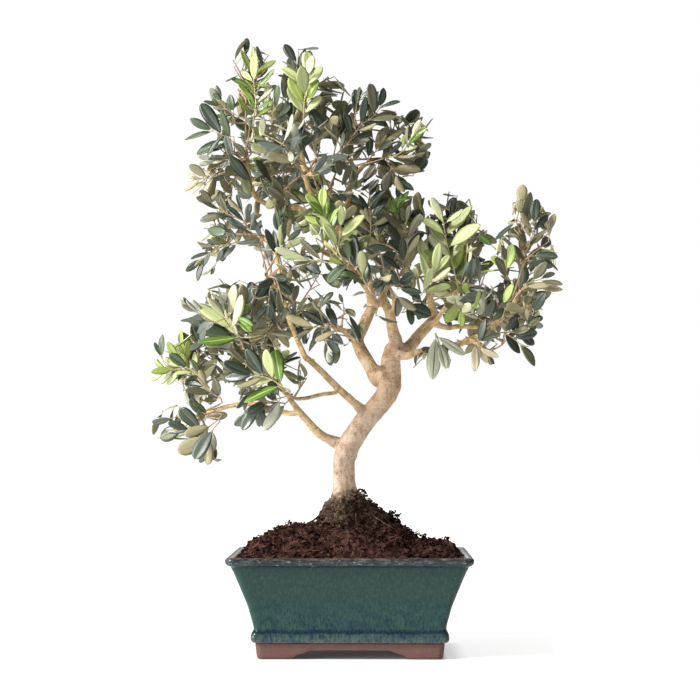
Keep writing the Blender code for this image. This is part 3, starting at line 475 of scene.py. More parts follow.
def face_outwards(item):
    work = bmesh.new()
    work.from_mesh(item.data)
    bmesh.ops.recalc_face_normals(work, faces=work.faces[:])
    work.to_mesh(item.data)
    work.free()


def apply_modifiers(item):
    """Makes the modifiers' result the object's own mesh."""
    graph = bpy.context.evaluated_depsgraph_get()
    made = bpy.data.meshes.new_from_object(item.evaluated_get(graph))
    item.modifiers.clear()
    old = item.data
    item.data = made
    bpy.data.meshes.remove(old)


def place(item, nodes=()):
    """The piece rides on the one body and stands for its nodes."""
    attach(item, "root")
    if nodes:
        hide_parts(*nodes)
    return item


def loft(rings):
    """Verts and faces through rings of equal length, with a flat cap at each end."""
    verts = [point for ring in rings for point in ring]
    count = len(rings[0])
    faces = []
    for i in range(len(rings) - 1):
        low = i * count
        for j in range(count):
            after = (j + 1) % count
            faces.append((low + j, low + after, low + count + after, low + count + j))
    faces.append(tuple(reversed(range(count))))
    faces.append(tuple(range((len(rings) - 1) * count, len(rings) * count)))
    return verts, faces


def add_loft(name, rings, materials, slots=None):
    """A closed mesh through rings, its faces turned outwards."""
    verts, faces = loft(rings)
    item = add_mesh(name, verts, faces, materials, slots)
    face_outwards(item)
    return item


def rounded_ring(half_x, half_y, corner, z, arc_steps, x_steps, y_steps):
    """A rounded rectangle at one height, with extra points along its sides."""
    sides = ((1, 1, 0.0, x_steps), (-1, 1, 90.0, y_steps), (-1, -1, 180.0, x_steps), (1, -1, 270.0, y_steps))
    arcs = []
    for sx, sy, start, _ in sides:
        cx = sx * (half_x - corner)
        cy = sy * (half_y - corner)
        arc = []
        for k in range(arc_steps + 1):
            angle = math.radians(start + 90.0 * k / arc_steps)
            arc.append(Vector((cx + corner * math.cos(angle), cy + corner * math.sin(angle), z)))
        arcs.append(arc)
    ring = []
    for index, (_, _, _, steps) in enumerate(sides):
        ring.extend(arcs[index])
        end = arcs[index][-1]
        after = arcs[(index + 1) % 4][0]
        for k in range(1, steps):
            ring.append(end.lerp(after, k / steps))
    return ring


def pot_ring(half, z, arc_steps, x_steps, y_steps, inset=0.0):
    """The pot's outline where its half length is so much."""
    corner = POT_CORNER_AT_RIM - (POT_RIM_HALF - half) * POT_CORNER_FALL
    half_y = half - POT_DEPTH_STEP - inset
    return rounded_ring(half - inset, half_y, corner, z, arc_steps, x_steps, y_steps)


def frame_from(axis, guide):
    """Two directions square to an axis, the second of them on the guide's side."""
    side = axis.cross(guide)
    if side.length < TINY:
        side = axis.cross(OTHER_GUIDE)
    side.normalize()
    return side, side.cross(axis).normalized()


def around(side, up, angle):
    return side * math.cos(angle) + up * math.sin(angle)


def smooth_path(points, steps=16):
    """Samples of a curve that passes through every point."""
    dense = []
    last = len(points) - 1
    for i in range(last):
        p1 = points[i]
        p2 = points[i + 1]
        p0 = points[i - 1] if i else p1 + (p1 - p2)
        p3 = points[i + 2] if i + 2 <= last else p2 + (p2 - p1)
        for k in range(steps):
            t = k / steps
            a = p1 * 2.0 + (p2 - p0) * t
            b = (p0 * 2.0 - p1 * 5.0 + p2 * 4.0 - p3) * t * t
            c = (p1 * 3.0 - p0 - p2 * 3.0 + p3) * t * t * t
            dense.append((a + b + c) * 0.5)
    dense.append(points[-1].copy())
    return dense


def path_length(path):
    return sum((b - a).length for a, b in zip(path, path[1:]))


def running_lengths(path):
    lengths = [0.0]
    for a, b in zip(path, path[1:]):
        lengths.append(lengths[-1] + (b - a).length)
    return lengths


def spot_at(path, share):
    """The place at a share of a path, the number of the point before it and the part after that."""
    at = share * (len(path) - 1)
    i = min(int(at), len(path) - 2)
    return path[i].lerp(path[i + 1], at - i), i, at - i


def resample(path, count):
    """So many points at even lengths along a path."""
    lengths = running_lengths(path)
    result = []
    j = 0
    for k in range(count):
        want = lengths[-1] * k / (count - 1)
        while j < len(path) - 2 and lengths[j + 1] < want:
            j += 1
        span = max(lengths[j + 1] - lengths[j], TINY)
        result.append(path[j].lerp(path[j + 1], (want - lengths[j]) / span))
    return result


def tangents(path):
    result = []
    for i in range(len(path)):
        a = path[max(0, i - 1)]
        b = path[min(len(path) - 1, i + 1)]
        result.append((b - a).normalized())
    return result


def swept_rings(path, radii, sides):
    """Round rings along a path that don't twist."""
    axes = tangents(path)
    guide = Vector((0.2, 0.1, 1.0)) if abs(axes[0].z) < 0.9 else Vector((0, 1, 0))
    side = frame_from(axes[0], guide)[0]
    rings = []
    for centre, axis, radius in zip(path, axes, radii):
        side = (side - axis * side.dot(axis)).normalized()
        up = axis.cross(side)
        ring = []
        for j in range(sides):
            angle = 2.0 * math.pi * j / sides
            ring.append(centre + side * (radius * math.cos(angle)) + up * (radius * math.sin(angle)))
        rings.append(ring)
    return rings


def tube(batch, path, radii, sides, slot):
    verts, faces = loft(swept_rings(path, radii, sides))
    batch.add(verts, faces, slot)


def ease(value, low, high):
    """From 0 at low to 1 at high, softly."""
    share = max(0.0, min(1.0, (value - low) / (high - low)))
    return share * share * (3.0 - 2.0 * share)


def rough(point, size, octaves=3):
    """Soft noise from about -1 to 1 with features of a size in millimetres."""
    return noise.fractal(point / size, 0.9, 2.1, octaves)


# ---------------------------------------------------------------- materials


def feed(tree, socket, value):
    """Links an input to another node's output, or sets its colour or number."""
    if isinstance(value, bpy.types.NodeSocket):
        tree.links.new(value, socket)
    elif socket.type == "RGBA":
        socket.default_value = (*value, 1.0)
    else:
        socket.default_value = value


def add_node(tree, kind, inputs, output=0, **settings):
    """A new node with its settings made and its inputs fed. Gives one of its outputs."""
    node = tree.nodes.new(kind)
    for key, value in settings.items():
        setattr(node, key, value)
    for key, value in inputs.items():
        feed(tree, node.inputs[key], value)
    return node.outputs[output]


class Graph:
    """A material's node tree on object coordinates, with short names for its nodes."""

    def __init__(self, name, **values):
        self.material = bpy.data.materials.new(name)
        self.material.use_nodes = True
        self.tree = self.material.node_tree
        self.shader = self.tree.nodes["Principled BSDF"]
        for key, value in values.items():
            feed(self.tree, self.shader.inputs[key.replace("_", " ")], value)
        self.place = self.node("ShaderNodeTexCoord", {}, "Object")

    def node(self, kind, inputs, output=0, **settings):
        return add_node(self.tree, kind, inputs, output, **settings)

    def shade(self, name, source):
        feed(self.tree, self.shader.inputs[name], source)

    def scaled(self, *sizes):
        """Object coordinates with each axis counted in features of so many millimetres."""
        scale = [1.0 / (size * MM) for size in sizes]
        return self.node("ShaderNodeMapping", {"Vector": self.place, "Scale": scale})

    def noise(self, x, y, z, detail=3.0, roughness=0.55, warp=0.0):
        inputs = {"Vector": self.scaled(x, y, z), "Scale": 1.0, "Detail": detail}
        inputs.update({"Roughness": roughness, "Distortion": warp})
        return self.node("ShaderNodeTexNoise", inputs)

    def cells(self, x, y, z):
        return self.node("ShaderNodeTexVoronoi", {"Vector": self.scaled(x, y, z), "Scale": 1.0}, "Distance")

    def ramp(self, factor, *stops):
        """A soft ramp through stops, each a position with a share or a colour."""
        node = self.tree.nodes.new("ShaderNodeValToRGB")
        node.color_ramp.interpolation = "EASE"
        elements = node.color_ramp.elements
        while len(elements) < len(stops):
            elements.new(0.5)
        for element, (position, colour) in zip(elements, stops):
            element.position = position
            element.color = (*colour, 1.0) if isinstance(colour, tuple) else (colour, colour, colour, 1.0)
        feed(self.tree, node.inputs["Fac"], factor)
        return node.outputs["Color"]

    def mix(self, factor, first, second, blend="MIX"):
        inputs = {0: factor, 6: first, 7: second}
        return self.node("ShaderNodeMix", inputs, 2, data_type="RGBA", blend_type=blend)

    def layer(self, base, colour, texture, low, high, mask=None, blend="MULTIPLY"):
        """A colour over a base, as far as a texture has it between two stops and a mask lets it."""
        share = self.ramp(texture, low, high)
        if mask is not None:
            share = self.maths("MULTIPLY", share, mask)
        return self.mix(share, base, colour, blend)

    def maths(self, operation, first, second=0.0):
        return self.node("ShaderNodeMath", {0: first, 1: second}, operation=operation)

    def at(self, axis):
        """How far along an axis a place is, in millimetres."""
        away = self.node("ShaderNodeSeparateXYZ", {0: self.place}, axis)
        return self.maths("MULTIPLY", away, 1.0 / MM)

    def wavy_height(self, wave, texture):
        """Height in millimetres, moved up or down by up to half a wave."""
        moved = self.maths("MULTIPLY", self.maths("SUBTRACT", texture, 0.5), wave)
        return self.maths("ADD", self.at("Z"), moved)

    def bump(self, height, depth, strength):
        """Relief of a depth in millimetres."""
        inputs = {"Strength": strength, "Distance": depth * MM, "Height": height}
        self.shade("Normal", self.node("ShaderNodeBump", inputs, "Normal"))


# the glaze from the ledge up to the lip: height in units of 100 mm, and colour; the dark band at 0.840, just
# under the lip's overhang, is painted shade
GLAZE_AND_SHADE_BANDS = (
    (0.15, (0.085, 0.092, 0.102)),
    (0.18, (0.040, 0.066, 0.062)),
    (0.225, (0.038, 0.062, 0.060)),
    (0.240, (0.012, 0.022, 0.030)),
    (0.252, (0.014, 0.028, 0.038)),
    (0.275, (0.020, 0.048, 0.044)),
    (0.36, (0.016, 0.050, 0.044)),
    (0.50, (0.015, 0.045, 0.041)),
    (0.56, (0.017, 0.044, 0.038)),
    (0.72, (0.017, 0.044, 0.037)),
    (0.81, (0.015, 0.040, 0.037)),
    # painted shade under the lip's overhang
    (0.840, (0.008, 0.016, 0.020)),
    (0.862, (0.036, 0.062, 0.066)),
    (0.885, (0.050, 0.072, 0.082)),
    (0.900, (0.020, 0.026, 0.032)),
    (0.925, (0.022, 0.014, 0.012)),
)


def glaze_material():
    """Mottled teal glaze that ran: streaks down the walls and a dark blue pool above the ledge, with painted
    shade under the lip and painted glints on it.
    """
    g = Graph("glaze", Roughness=0.20, Coat_Weight=0.06, Coat_Roughness=0.05, Specular_IOR_Level=0.16)
    level = g.maths("DIVIDE", g.wavy_height(3.0, g.noise(9, 9, 30)), 100.0)
    low = g.ramp(level, (0.28, 1.0), (0.62, 0.35))
    on_lip = g.ramp(level, (0.845, 0.0), (0.860, 1.0))
    colour = g.ramp(level, *GLAZE_AND_SHADE_BANDS)
    blotch = g.noise(16, 16, 9, 4.0, 0.6, 0.6)
    colour = g.layer(colour, (0.62, 0.74, 0.95), blotch, (0.44, 0.0), (0.60, 1.0), low)
    streak = g.noise(1.7, 1.7, 14, 4.0, 0.65)
    colour = g.layer(colour, (1.60, 1.42, 1.22), streak, (0.46, 0.0), (0.60, 0.8))
    drops = g.noise(1.5, 1.5, 4.5, 3.0, 0.65)
    colour = g.layer(colour, (0.34, 0.48, 0.62), drops, (0.40, 0.95), (0.50, 0.0), low)
    patchy = g.noise(9, 9, 3, 4.0, 0.7)
    colour = g.layer(colour, (0.38, 0.42, 0.48), patchy, (0.46, 1.0), (0.60, 0.0), on_lip)
    # painted glints of light along the lip
    glint = g.noise(5, 5, 1.0, 3.0, 0.7)
    colour = g.layer(colour, (0.30, 0.34, 0.34), glint, (0.60, 0.0), (0.66, 0.8), on_lip, "MIX")
    pin = g.cells(6.5, 6.5, 6.5)
    g.shade("Base Color", g.layer(colour, (0.30, 0.36, 0.30), pin, (0.030, 0.5), (0.060, 0.0), blend="MIX"))
    g.bump(g.noise(6, 6, 9), 0.5, 0.3)
    return g.material


def rim_material():
    """Cream glaze inside the rim, with dark specks, more of them to the right."""
    g = Graph("rim_glaze", Roughness=0.14, Coat_Weight=0.6, Coat_Roughness=0.05)
    cloud = g.noise(9, 9, 9)
    cream = g.mix(cloud, (0.62, 0.59, 0.53), (0.86, 0.84, 0.79))
    grain = g.maths("MULTIPLY", g.noise(0.8, 0.8, 0.8, 2.0), 0.25)
    speck = g.maths("ADD", g.cells(2.6, 2.6, 2.6), grain)
    across = g.maths("DIVIDE", g.maths("ADD", g.at("X"), POT_RIM_HALF), 2.0 * POT_RIM_HALF)
    inside = g.maths("LESS_THAN", speck, g.ramp(across, (0.35, 0.10), (0.95, 0.30)))
    g.shade("Base Color", g.mix(inside, cream, (0.035, 0.022, 0.016)))
    g.bump(cloud, 0.3, 0.3)
    return g.material


def edge_material():
    """Brown-black line where the glaze breaks over the rim's outer edge."""
    g = Graph("rim_edge", Roughness=0.22, Coat_Weight=0.4)
    patch = g.noise(8, 8, 3)
    share = g.ramp(patch, (0.40, 0.0), (0.72, 1.0))
    g.shade("Base Color", g.mix(share, (0.026, 0.015, 0.012), (0.13, 0.10, 0.09)))
    g.bump(patch, 0.2, 0.3)
    return g.material


def clay_material():
    """Unglazed red-brown clay with fine grit."""
    g = Graph("clay", Roughness=0.82)
    body = g.mix(g.noise(12, 12, 6), (0.087, 0.037, 0.032), (0.142, 0.067, 0.058))
    grit = g.noise(0.7, 0.7, 0.7, 3.0, 0.7)
    gritty = g.layer(body, (0.42, 0.27, 0.23), grit, (0.60, 0.0), (0.74, 0.7), blend="MIX")
    pits = g.cells(3.4, 3.4, 3.4)
    g.shade("Base Color", g.layer(gritty, (0.055, 0.028, 0.024), pits, (0.05, 0.9), (0.12, 0.0), blend="MIX"))
    g.bump(grit, 0.25, 0.6)
    return g.material


# what is crumbly or fibrous: the darkest and the lightest colour
PEAT_COLOURS = {
    "peat": ((0.022, 0.008, 0.006), (0.112, 0.050, 0.040)),
    "peat_dark": ((0.009, 0.003, 0.002), (0.032, 0.013, 0.009)),
    "peat_pale": ((0.088, 0.040, 0.028), (0.165, 0.086, 0.062)),
    "thread": ((0.200, 0.105, 0.060), (0.360, 0.220, 0.140)),
    "moss": ((0.060, 0.036, 0.016), (0.190, 0.120, 0.058)),
    "moss_dark": ((0.014, 0.009, 0.005), (0.050, 0.032, 0.016)),
    "root": ((0.060, 0.032, 0.018), (0.170, 0.100, 0.055)),
}


def peat_material(name):
    """Dull clumps and fibres, with painted shade in the hollows and gaps between them."""
    darkest, lightest = PEAT_COLOURS[name]
    g = Graph(name, Roughness=0.95, Specular_IOR_Level=0.12)
    clump = g.ramp(g.noise(4, 4, 3, 4.0, 0.65), (0.30, 0.0), (0.70, 1.0))
    base = g.mix(clump, darkest, lightest)
    # large darker patches: painted shade standing in for hollows between the clumps
    hollow_shade = g.noise(13, 13, 9, 3.0, 0.6)
    hollow_shaded = g.layer(base, (0.36, 0.28, 0.28), hollow_shade, (0.40, 0.75), (0.55, 0.0))
    # darker where the fibres' relief is low: painted shade in the gaps between them
    fibre = g.noise(0.5, 2.2, 0.8, 3.0, 0.6, 1.2)
    g.shade("Base Color", g.layer(hollow_shaded, (0.35, 0.35, 0.35), fibre, (0.35, 0.8), (0.60, 0.0)))
    g.bump(fibre, 0.5, 0.8)
    return g.material


def bark_material():
    """Pale bark with dark pores, yellower on thin limbs, with painted shade on the thick bark high up, and
    dark and mossy round the roots.
    """
    g = Graph("bark", Roughness=0.8, Specular_IOR_Level=0.2)
    thick = g.node("ShaderNodeAttribute", {}, "Fac", attribute_name="girth")
    cloud = g.ramp(g.noise(8, 8, 9, 4.0, 0.6), (0.34, 0.0), (0.62, 1.0))
    pale = g.mix(cloud, (0.47, 0.335, 0.225), (0.64, 0.500, 0.385))
    tan = g.mix(cloud, (0.40, 0.270, 0.115), (0.66, 0.490, 0.260))
    colour = g.mix(thick, tan, pale)
    # the thick bark darkens from about 204 mm up: painted shade under the crown
    crown_shade_height = g.maths("DIVIDE", g.at("Z"), 300.0)
    colour = g.layer(colour, (0.85, 0.79, 0.70), crown_shade_height, (0.68, 0.0), (0.79, 1.0), thick)
    stain = g.noise(15, 15, 24, 3.0, 0.7, 1.0)
    colour = g.layer(colour, (0.58, 0.46, 0.34), stain, (0.50, 0.0), (0.68, 0.75))
    wrinkle = g.noise(6.0, 6.0, 0.9, 3.0, 0.6, 0.4)
    colour = g.layer(colour, (0.60, 0.46, 0.36), wrinkle, (0.55, 0.0), (0.68, 0.6))
    streak = g.noise(1.4, 1.4, 5.0, 4.0, 0.7)
    colour = g.layer(colour, (0.60, 0.48, 0.38), streak, (0.58, 0.0), (0.70, 0.5))
    light = g.noise(1.3, 1.3, 1.6, 3.0, 0.6)
    colour = g.layer(colour, (0.78, 0.66, 0.54), light, (0.56, 0.0), (0.70, 0.6), blend="MIX")
    fine = g.noise(0.9, 0.9, 0.9, 2.0, 0.6)
    pore = g.maths("ADD", g.cells(3.6, 3.6, 2.6), g.maths("MULTIPLY", fine, 0.22))
    where_stained = g.ramp(stain, (0.40, 0.2), (0.58, 1.0))
    colour = g.layer(colour, (0.120, 0.055, 0.028), pore, (0.24, 0.95), (0.31, 0.0), where_stained, "MIX")
    scar = g.maths("ADD", g.cells(11.0, 11.0, 7.0), g.maths("MULTIPLY", fine, 0.10))
    colour = g.layer(colour, (0.18, 0.070, 0.040), scar, (0.13, 0.85), (0.18, 0.0), blend="MIX")
    above = g.maths("SUBTRACT", g.wavy_height(26.0, g.noise(5, 5, 5, 4.0, 0.65)), GROUND_Z)
    foot = g.ramp(g.maths("DIVIDE", above, 60.0), (0.36, 1.0), (0.60, 0.0))
    mossy = g.ramp(
        g.noise(3, 3, 3, 4.0, 0.7),
        (0.38, (0.012, 0.008, 0.006)),
        (0.50, (0.040, 0.024, 0.016)),
        (0.60, (0.095, 0.060, 0.030)),
        (0.70, (0.280, 0.180, 0.095)),
    )
    g.shade("Base Color", g.mix(foot, colour, mossy))
    g.bump(g.mix(0.5, wrinkle, fine), 0.6, 0.7)
    return g.material


def twig_material(name, low, high):
    """Young bark, from tan to the green of this year's growth."""
    g = Graph(name, Roughness=0.7)
    g.shade("Base Color", g.mix(g.ramp(g.noise(3, 3, 5), (0.3, 0.0), (0.7, 1.0)), low, high))
    g.bump(g.noise(0.7, 0.7, 1.4, 2.0), 0.2, 0.5)
    return g.material


def plain_leaf_material(name, colour, roughness, coat):
    """One plain leaf colour, with fine relief from its veins and a soft change of gloss."""
    g = Graph(name, Base_Color=colour, Roughness=roughness, Coat_Weight=coat, Coat_Roughness=0.25)
    vein = g.noise(1.6, 1.6, 1.6, 3.0, 0.6)
    g.shade("Roughness", g.ramp(vein, (0.2, roughness - 0.08), (0.8, roughness + 0.10)))
    g.bump(vein, 0.25, 0.35)
    return g.material


# ---------------------------------------------------------------- pot and clay base

POT_ARC_STEPS = 9
POT_X_STEPS = 40
POT_Y_STEPS = 28
POT_RING_STEPS = 3
POT_EDGE_FROM = 89.6
# slight waves in the wall, none at its foot: how high and how long
POT_WAVES = ((0.22, 26.0), (0.07, 5.0))
POT_WAVES_FROM = 14.0
POT_WAVES_RISE = 6.0
# where the drain holes are drilled: middle height and depth
POT_DRILL = (18.0, 30.0)
BASE_DRILL = (6.0, 20.0)
CLAY_EDGE = 0.7
FOOT_CUT_HALF = 130.0


def smooth_profile(pairs, steps):
    """More (half, height) pairs on a curve through the given ones."""
    points = [Vector((half, z, 0.0)) for half, z in pairs]
    return [(p.x, p.y) for p in smooth_path(points, steps)]


def cut(item, cutter):
    change = item.modifiers.new("cut", "BOOLEAN")
    change.operation = "DIFFERENCE"
    change.solver = "EXACT"
    change.object = cutter
    apply_modifiers(item)
    bpy.data.objects.remove(cutter, do_unlink=True)


def drill(item, height, depth):
    """The two drain holes."""
    for side in (-1, 1):
        bpy.ops.mesh.primitive_cylinder_add(
            vertices=32,
            radius=DRAIN_RADIUS * MM,
            depth=depth * MM,
            location=(side * DRAIN_AT * MM, 0.0, height * MM),
        )
        cut(item, bpy.context.active_object)


def flat_caps(item):
    """Large flat faces and the walls of holes shade flat beside smooth ones."""
    item.data.set_sharp_from_angle(angle=math.radians(50.0))


def build_pot(glaze, edge, cream):
    """The pot's outer and inner walls in one closed loft, with its drain holes."""
    outer = smooth_profile(POT_OUTER, POT_RING_STEPS)
    profile = outer + smooth_profile(POT_INNER, POT_RING_STEPS)
    rings = []
    for half, z in profile:
        ring = pot_ring(half, z, POT_ARC_STEPS, POT_X_STEPS, POT_Y_STEPS)
        for point in ring:
            out = Vector((point.x, point.y, 0.0)).normalized()
            wave = sum(high * rough(point, size, 2) for high, size in POT_WAVES)
            point += out * (wave * min(1.0, (z - POT_WAVES_FROM) / POT_WAVES_RISE))
        rings.append(ring)
    slots = []
    for number, (_, z) in enumerate(profile[:-1]):
        if number < len(outer) - 1 and z < POT_EDGE_FROM:
            slot = 0
        elif number <= len(outer):
            slot = 1
        else:
            slot = 2
        slots.extend([slot] * len(rings[0]))
    pot = add_loft("pot_glazed", rings, (glaze, edge, cream), slots + [0, 2])
    drill(pot, *POT_DRILL)
    flat_caps(pot)
    return place(pot, ("pot",))


def build_base(clay):
    """A floor plate whose rim is cut away between the four bracket feet."""
    rings = [pot_ring(half, z, 8, 8, 6) for half, z in smooth_profile(BASE_OUTER, 2)]
    base = add_loft("clay_feet", rings, (clay,))
    curve = smooth_profile(FOOT_OGEE[:-1], 4) + [FOOT_OGEE[-1]]
    for inner, lengthwise in ((FOOT_INNER_X, True), (FOOT_INNER_Y, False)):
        half = [(inner + dx, z) for dx, z in curve]
        outline = half + [(-a, z) for a, z in reversed(half)]
        rings = []
        for end in (-FOOT_CUT_HALF, FOOT_CUT_HALF):
            rings.append([Vector((a, end, z)) if lengthwise else Vector((end, a, z)) for a, z in outline])
        cut(base, add_loft("foot_gap", rings, ()))
    drill(base, *BASE_DRILL)
    edges = base.modifiers.new("edges", "BEVEL")
    edges.width = CLAY_EDGE * MM
    edges.segments = 2
    edges.limit_method = "ANGLE"
    edges.angle_limit = math.radians(40.0)
    apply_modifiers(base)
    flat_caps(base)
    return place(base, ("clay_base",))


# ---------------------------------------------------------------- soil

SOIL_RINGS = 76
SOIL_AROUND = (9, 130, 96)
CRUMBS = 4600
FIBRES = 1300
TRUNK_FOOT = (2.0, 0.0)
# how far from the middle a fibre may reach
FIBRE_LIMIT_X = 100.0
FIBRE_LIMIT_Y = 72.0
FIBRE_POINTS = 7
RAISED_FIBRES = 0.22
# clods that stand out of the mound's outline: x, y, spread, height, how many
CLODS = (
    (-88, -4, 1.8, 5.5, 30),
    (-67, -6, 2.4, 6, 44),
    (-56, 6, 3, 4, 30),
    (-46, -10, 3, 4, 34),
    (37, -3, 4.2, 12, 230),
    (41, 4, 2.6, 7, 50),
    (52, -6, 3, 4, 30),
    (66, 2, 2.4, 5, 40),
    (90, 4, 2.4, 5.5, 36),
    (76, -30, 3, 4, 30),
    (-30, -38, 4, 5, 60),
    (10, -44, 4, 5, 60),
    (44, -36, 4, 4, 50),
    (-70, -40, 4, 4, 50),
    (-20, 44, 4, 5, 50),
    (50, 38, 4, 4, 50),
)


def read_between(pairs, at):
    """The value at a place, on straight lines between (place, value) pairs."""
    for (low, value), (high, after) in zip(pairs, pairs[1:]):
        if at <= high:
            share = max(0.0, (at - low) / (high - low))
            return value + (after - value) * share
    return pairs[-1][1]


# the mound falls off to the pot's sides by a power, and from the trunk's plateau by a slope
MOUND_HALF_DEPTH = 75.0
MOUND_POWER = 2.4
PLATEAU_DEPTH_SCALE = 1.08
PLATEAU_SLOPE = 0.82
# clods, each as height and size, which fade in from one distance to another
WIDE_CLODS = (3.4, 11.0)
SMALL_CLODS = (2.4, 4.6)
CLODS_FADE = (16.0, 34.0)
CLODS_SUNK = 0.6


def soil_height(x, y):
    """The mound, as in the frame, with the clods that only show close to."""
    across = max(0.0, 1.0 - (abs(y) / MOUND_HALF_DEPTH) ** MOUND_POWER)
    waves = 1.1 * math.sin(x * 0.21 + 1.3) * math.sin(y * 0.27 + 0.4) + 0.9 * math.sin(x * 0.43 + y * 0.31)
    high = SOIL_EDGE_Z + (read_between(SOIL_RIDGE, x) - SOIL_EDGE_Z) * across + waves * across
    away = math.hypot(x - TRUNK_FOOT[0], y * PLATEAU_DEPTH_SCALE)
    level = GROUND_Z - GAP
    if away <= PLATEAU_RADIUS:
        mound = level
    else:
        slope = level - (away - PLATEAU_RADIUS) * PLATEAU_SLOPE
        mound = min(max(high, slope, SOIL_EDGE_Z), level)
    place_at = Vector((x, y, 0.0))
    high, size = WIDE_CLODS
    clods = high * rough(place_at, size, 2)
    high, size = SMALL_CLODS
    clods += high * abs(rough(place_at + Vector((40, 9, 3)), size, 3))
    return mound + clods * ease(away, *CLODS_FADE) - CLODS_SUNK


def build_soil(earth, dark, pale, thread):
    """The bed of soil, and the crumbs, clods and fibres that lie on it."""
    rings = []
    for half, z in reversed(POT_INNER[4:]):
        rings.append(pot_ring(half, z + GAP, *SOIL_AROUND, inset=GAP * 1.6))
    wall = pot_ring(POT_INNER[3][0], SOIL_EDGE_Z, *SOIL_AROUND, inset=GAP)
    rings.append(wall)
    for number in range(1, SOIL_RINGS):
        share = 1.0 - number / SOIL_RINGS
        spots = [(point.x * share, point.y * share) for point in wall]
        rings.append([Vector((x, y, soil_height(x, y))) for x, y in spots])
    place(add_loft("soil_bed", rings, (earth,)), ("soil",))
    chance = random.Random(SEED + 1)
    crumbs = Batch()
    for x, y in scattered(CRUMBS, 101.0, 73.0, 30.0, chance):
        size = 0.9 + 3.6 * chance.random() ** 2.6
        drop_crumb(crumbs, Vector((x, y, soil_height(x, y) + size * 0.25)), size, chance)
    for x, y, size, high, many in CLODS:
        for _ in range(many):
            spot = Vector((x + chance.gauss(0, size), y + chance.gauss(0, size), 0.0))
            spot.z = soil_height(spot.x, spot.y) + chance.uniform(0.0, high)
            drop_crumb(crumbs, spot, chance.uniform(1.2, 3.0), chance)
    place(add_batch("soil_crumbs", crumbs, (earth, dark, pale), smooth=False))
    fibres = Batch()
    for x, y in scattered(FIBRES, 99.0, 71.0, 26.0, chance):
        lay_fibre(fibres, x, y, chance)
    place(add_batch("soil_fibres", fibres, (thread, pale, dark)))


def scattered(many, half_x, half_y, clear, chance):
    """Places over the soil, apart from a round clear space at the trunk."""
    for _ in range(many):
        x = chance.uniform(-half_x, half_x)
        y = chance.uniform(-half_y, half_y)
        if math.hypot(x - TRUNK_FOOT[0], y) >= clear:
            yield x, y


# a crumb starts as a regular solid with 20 faces
ICO = 1.618034
CRUMB_SIZE = 1.9
CRUMB_VERTS = (
    (-1, ICO, 0), (1, ICO, 0), (-1, -ICO, 0), (1, -ICO, 0), (0, -1, ICO), (0, 1, ICO),
    (0, -1, -ICO), (0, 1, -ICO), (ICO, 0, -1), (ICO, 0, 1), (-ICO, 0, -1), (-ICO, 0, 1),
)
CRUMB_FACES = (
    (0, 11, 5), (0, 5, 1), (0, 1, 7), (0, 7, 10), (0, 10, 11), (1, 5, 9), (5, 11, 4), (11, 10, 2),
    (10, 7, 6), (7, 1, 8), (3, 9, 4), (3, 4, 2), (3, 2, 6), (3, 6, 8), (3, 8, 9), (4, 9, 5),
    (2, 4, 11), (6, 2, 10), (8, 6, 7), (9, 8, 1),
)


def drop_crumb(batch, spot, size, chance, slots=(0, 0, 0, 1, 1, 2), longest=2.6):
    """A torn shred: an uneven lump, often much longer than it is wide."""
    long_way = Vector((chance.gauss(0, 1), chance.gauss(0, 1), chance.gauss(0, 0.6))).normalized()
    side, up = frame_from(long_way, UP)
    stretch = chance.uniform(0.8, longest)
    flat = chance.uniform(0.35, 0.8)
    verts = []
    for x, y, z in CRUMB_VERTS:
        r = size * 0.5 * chance.uniform(0.55, 1.2) / CRUMB_SIZE
        verts.append(spot + long_way * (x * r * stretch) + side * (y * r) + up * (z * r * flat))
    batch.add(verts, CRUMB_FACES, chance.choice(slots))


def lay_fibre(batch, x, y, chance):
    """A thin root or husk thread that lies on the mound, now and then with an end in the air."""
    heading = chance.uniform(0.0, 2.0 * math.pi)
    bend = chance.gauss(0.0, 0.16)
    length = chance.uniform(5.0, 22.0)
    lift = chance.uniform(0.0, 4.5) if chance.random() < RAISED_FIBRES else 0.3
    path = []
    for k in range(FIBRE_POINTS):
        z = soil_height(x, y) + 0.3 + lift * (k / (FIBRE_POINTS - 1)) ** 2
        path.append(Vector((x, y, z)))
        x = max(-FIBRE_LIMIT_X, min(FIBRE_LIMIT_X, x + math.cos(heading) * length / FIBRE_POINTS))
        y = max(-FIBRE_LIMIT_Y, min(FIBRE_LIMIT_Y, y + math.sin(heading) * length / FIBRE_POINTS))
        heading += bend
    thick = chance.uniform(0.10, 0.30)
    radii = [thick * (1.0 - 0.6 * k / (FIBRE_POINTS - 1)) for k in range(FIBRE_POINTS)]
    tube(batch, path, radii, 3, chance.choice((0, 0, 1, 2)))


# ---------------------------------------------------------------- trunk and boughs


def nearest_on(limb, point):
    """Distance from a point to a limb's centre line, the radius there and the nearest place."""
    best = None
    path = limb["path"]
    radii = limb["radii"]
    for i in range(len(path) - 1):
        a = path[i]
        ab = path[i + 1] - a
        t = max(0.0, min(1.0, (point - a).dot(ab) / ab.length_squared))
        foot = a + ab * t
        far = (point - foot).length
        if best is None or far < best[0]:
            best = (far, radii[i] + (radii[i + 1] - radii[i]) * t, foot)
    return best


def is_clear(limb, point, margin):
    far, radius, _ = nearest_on(limb, point)
    return far >= radius + margin


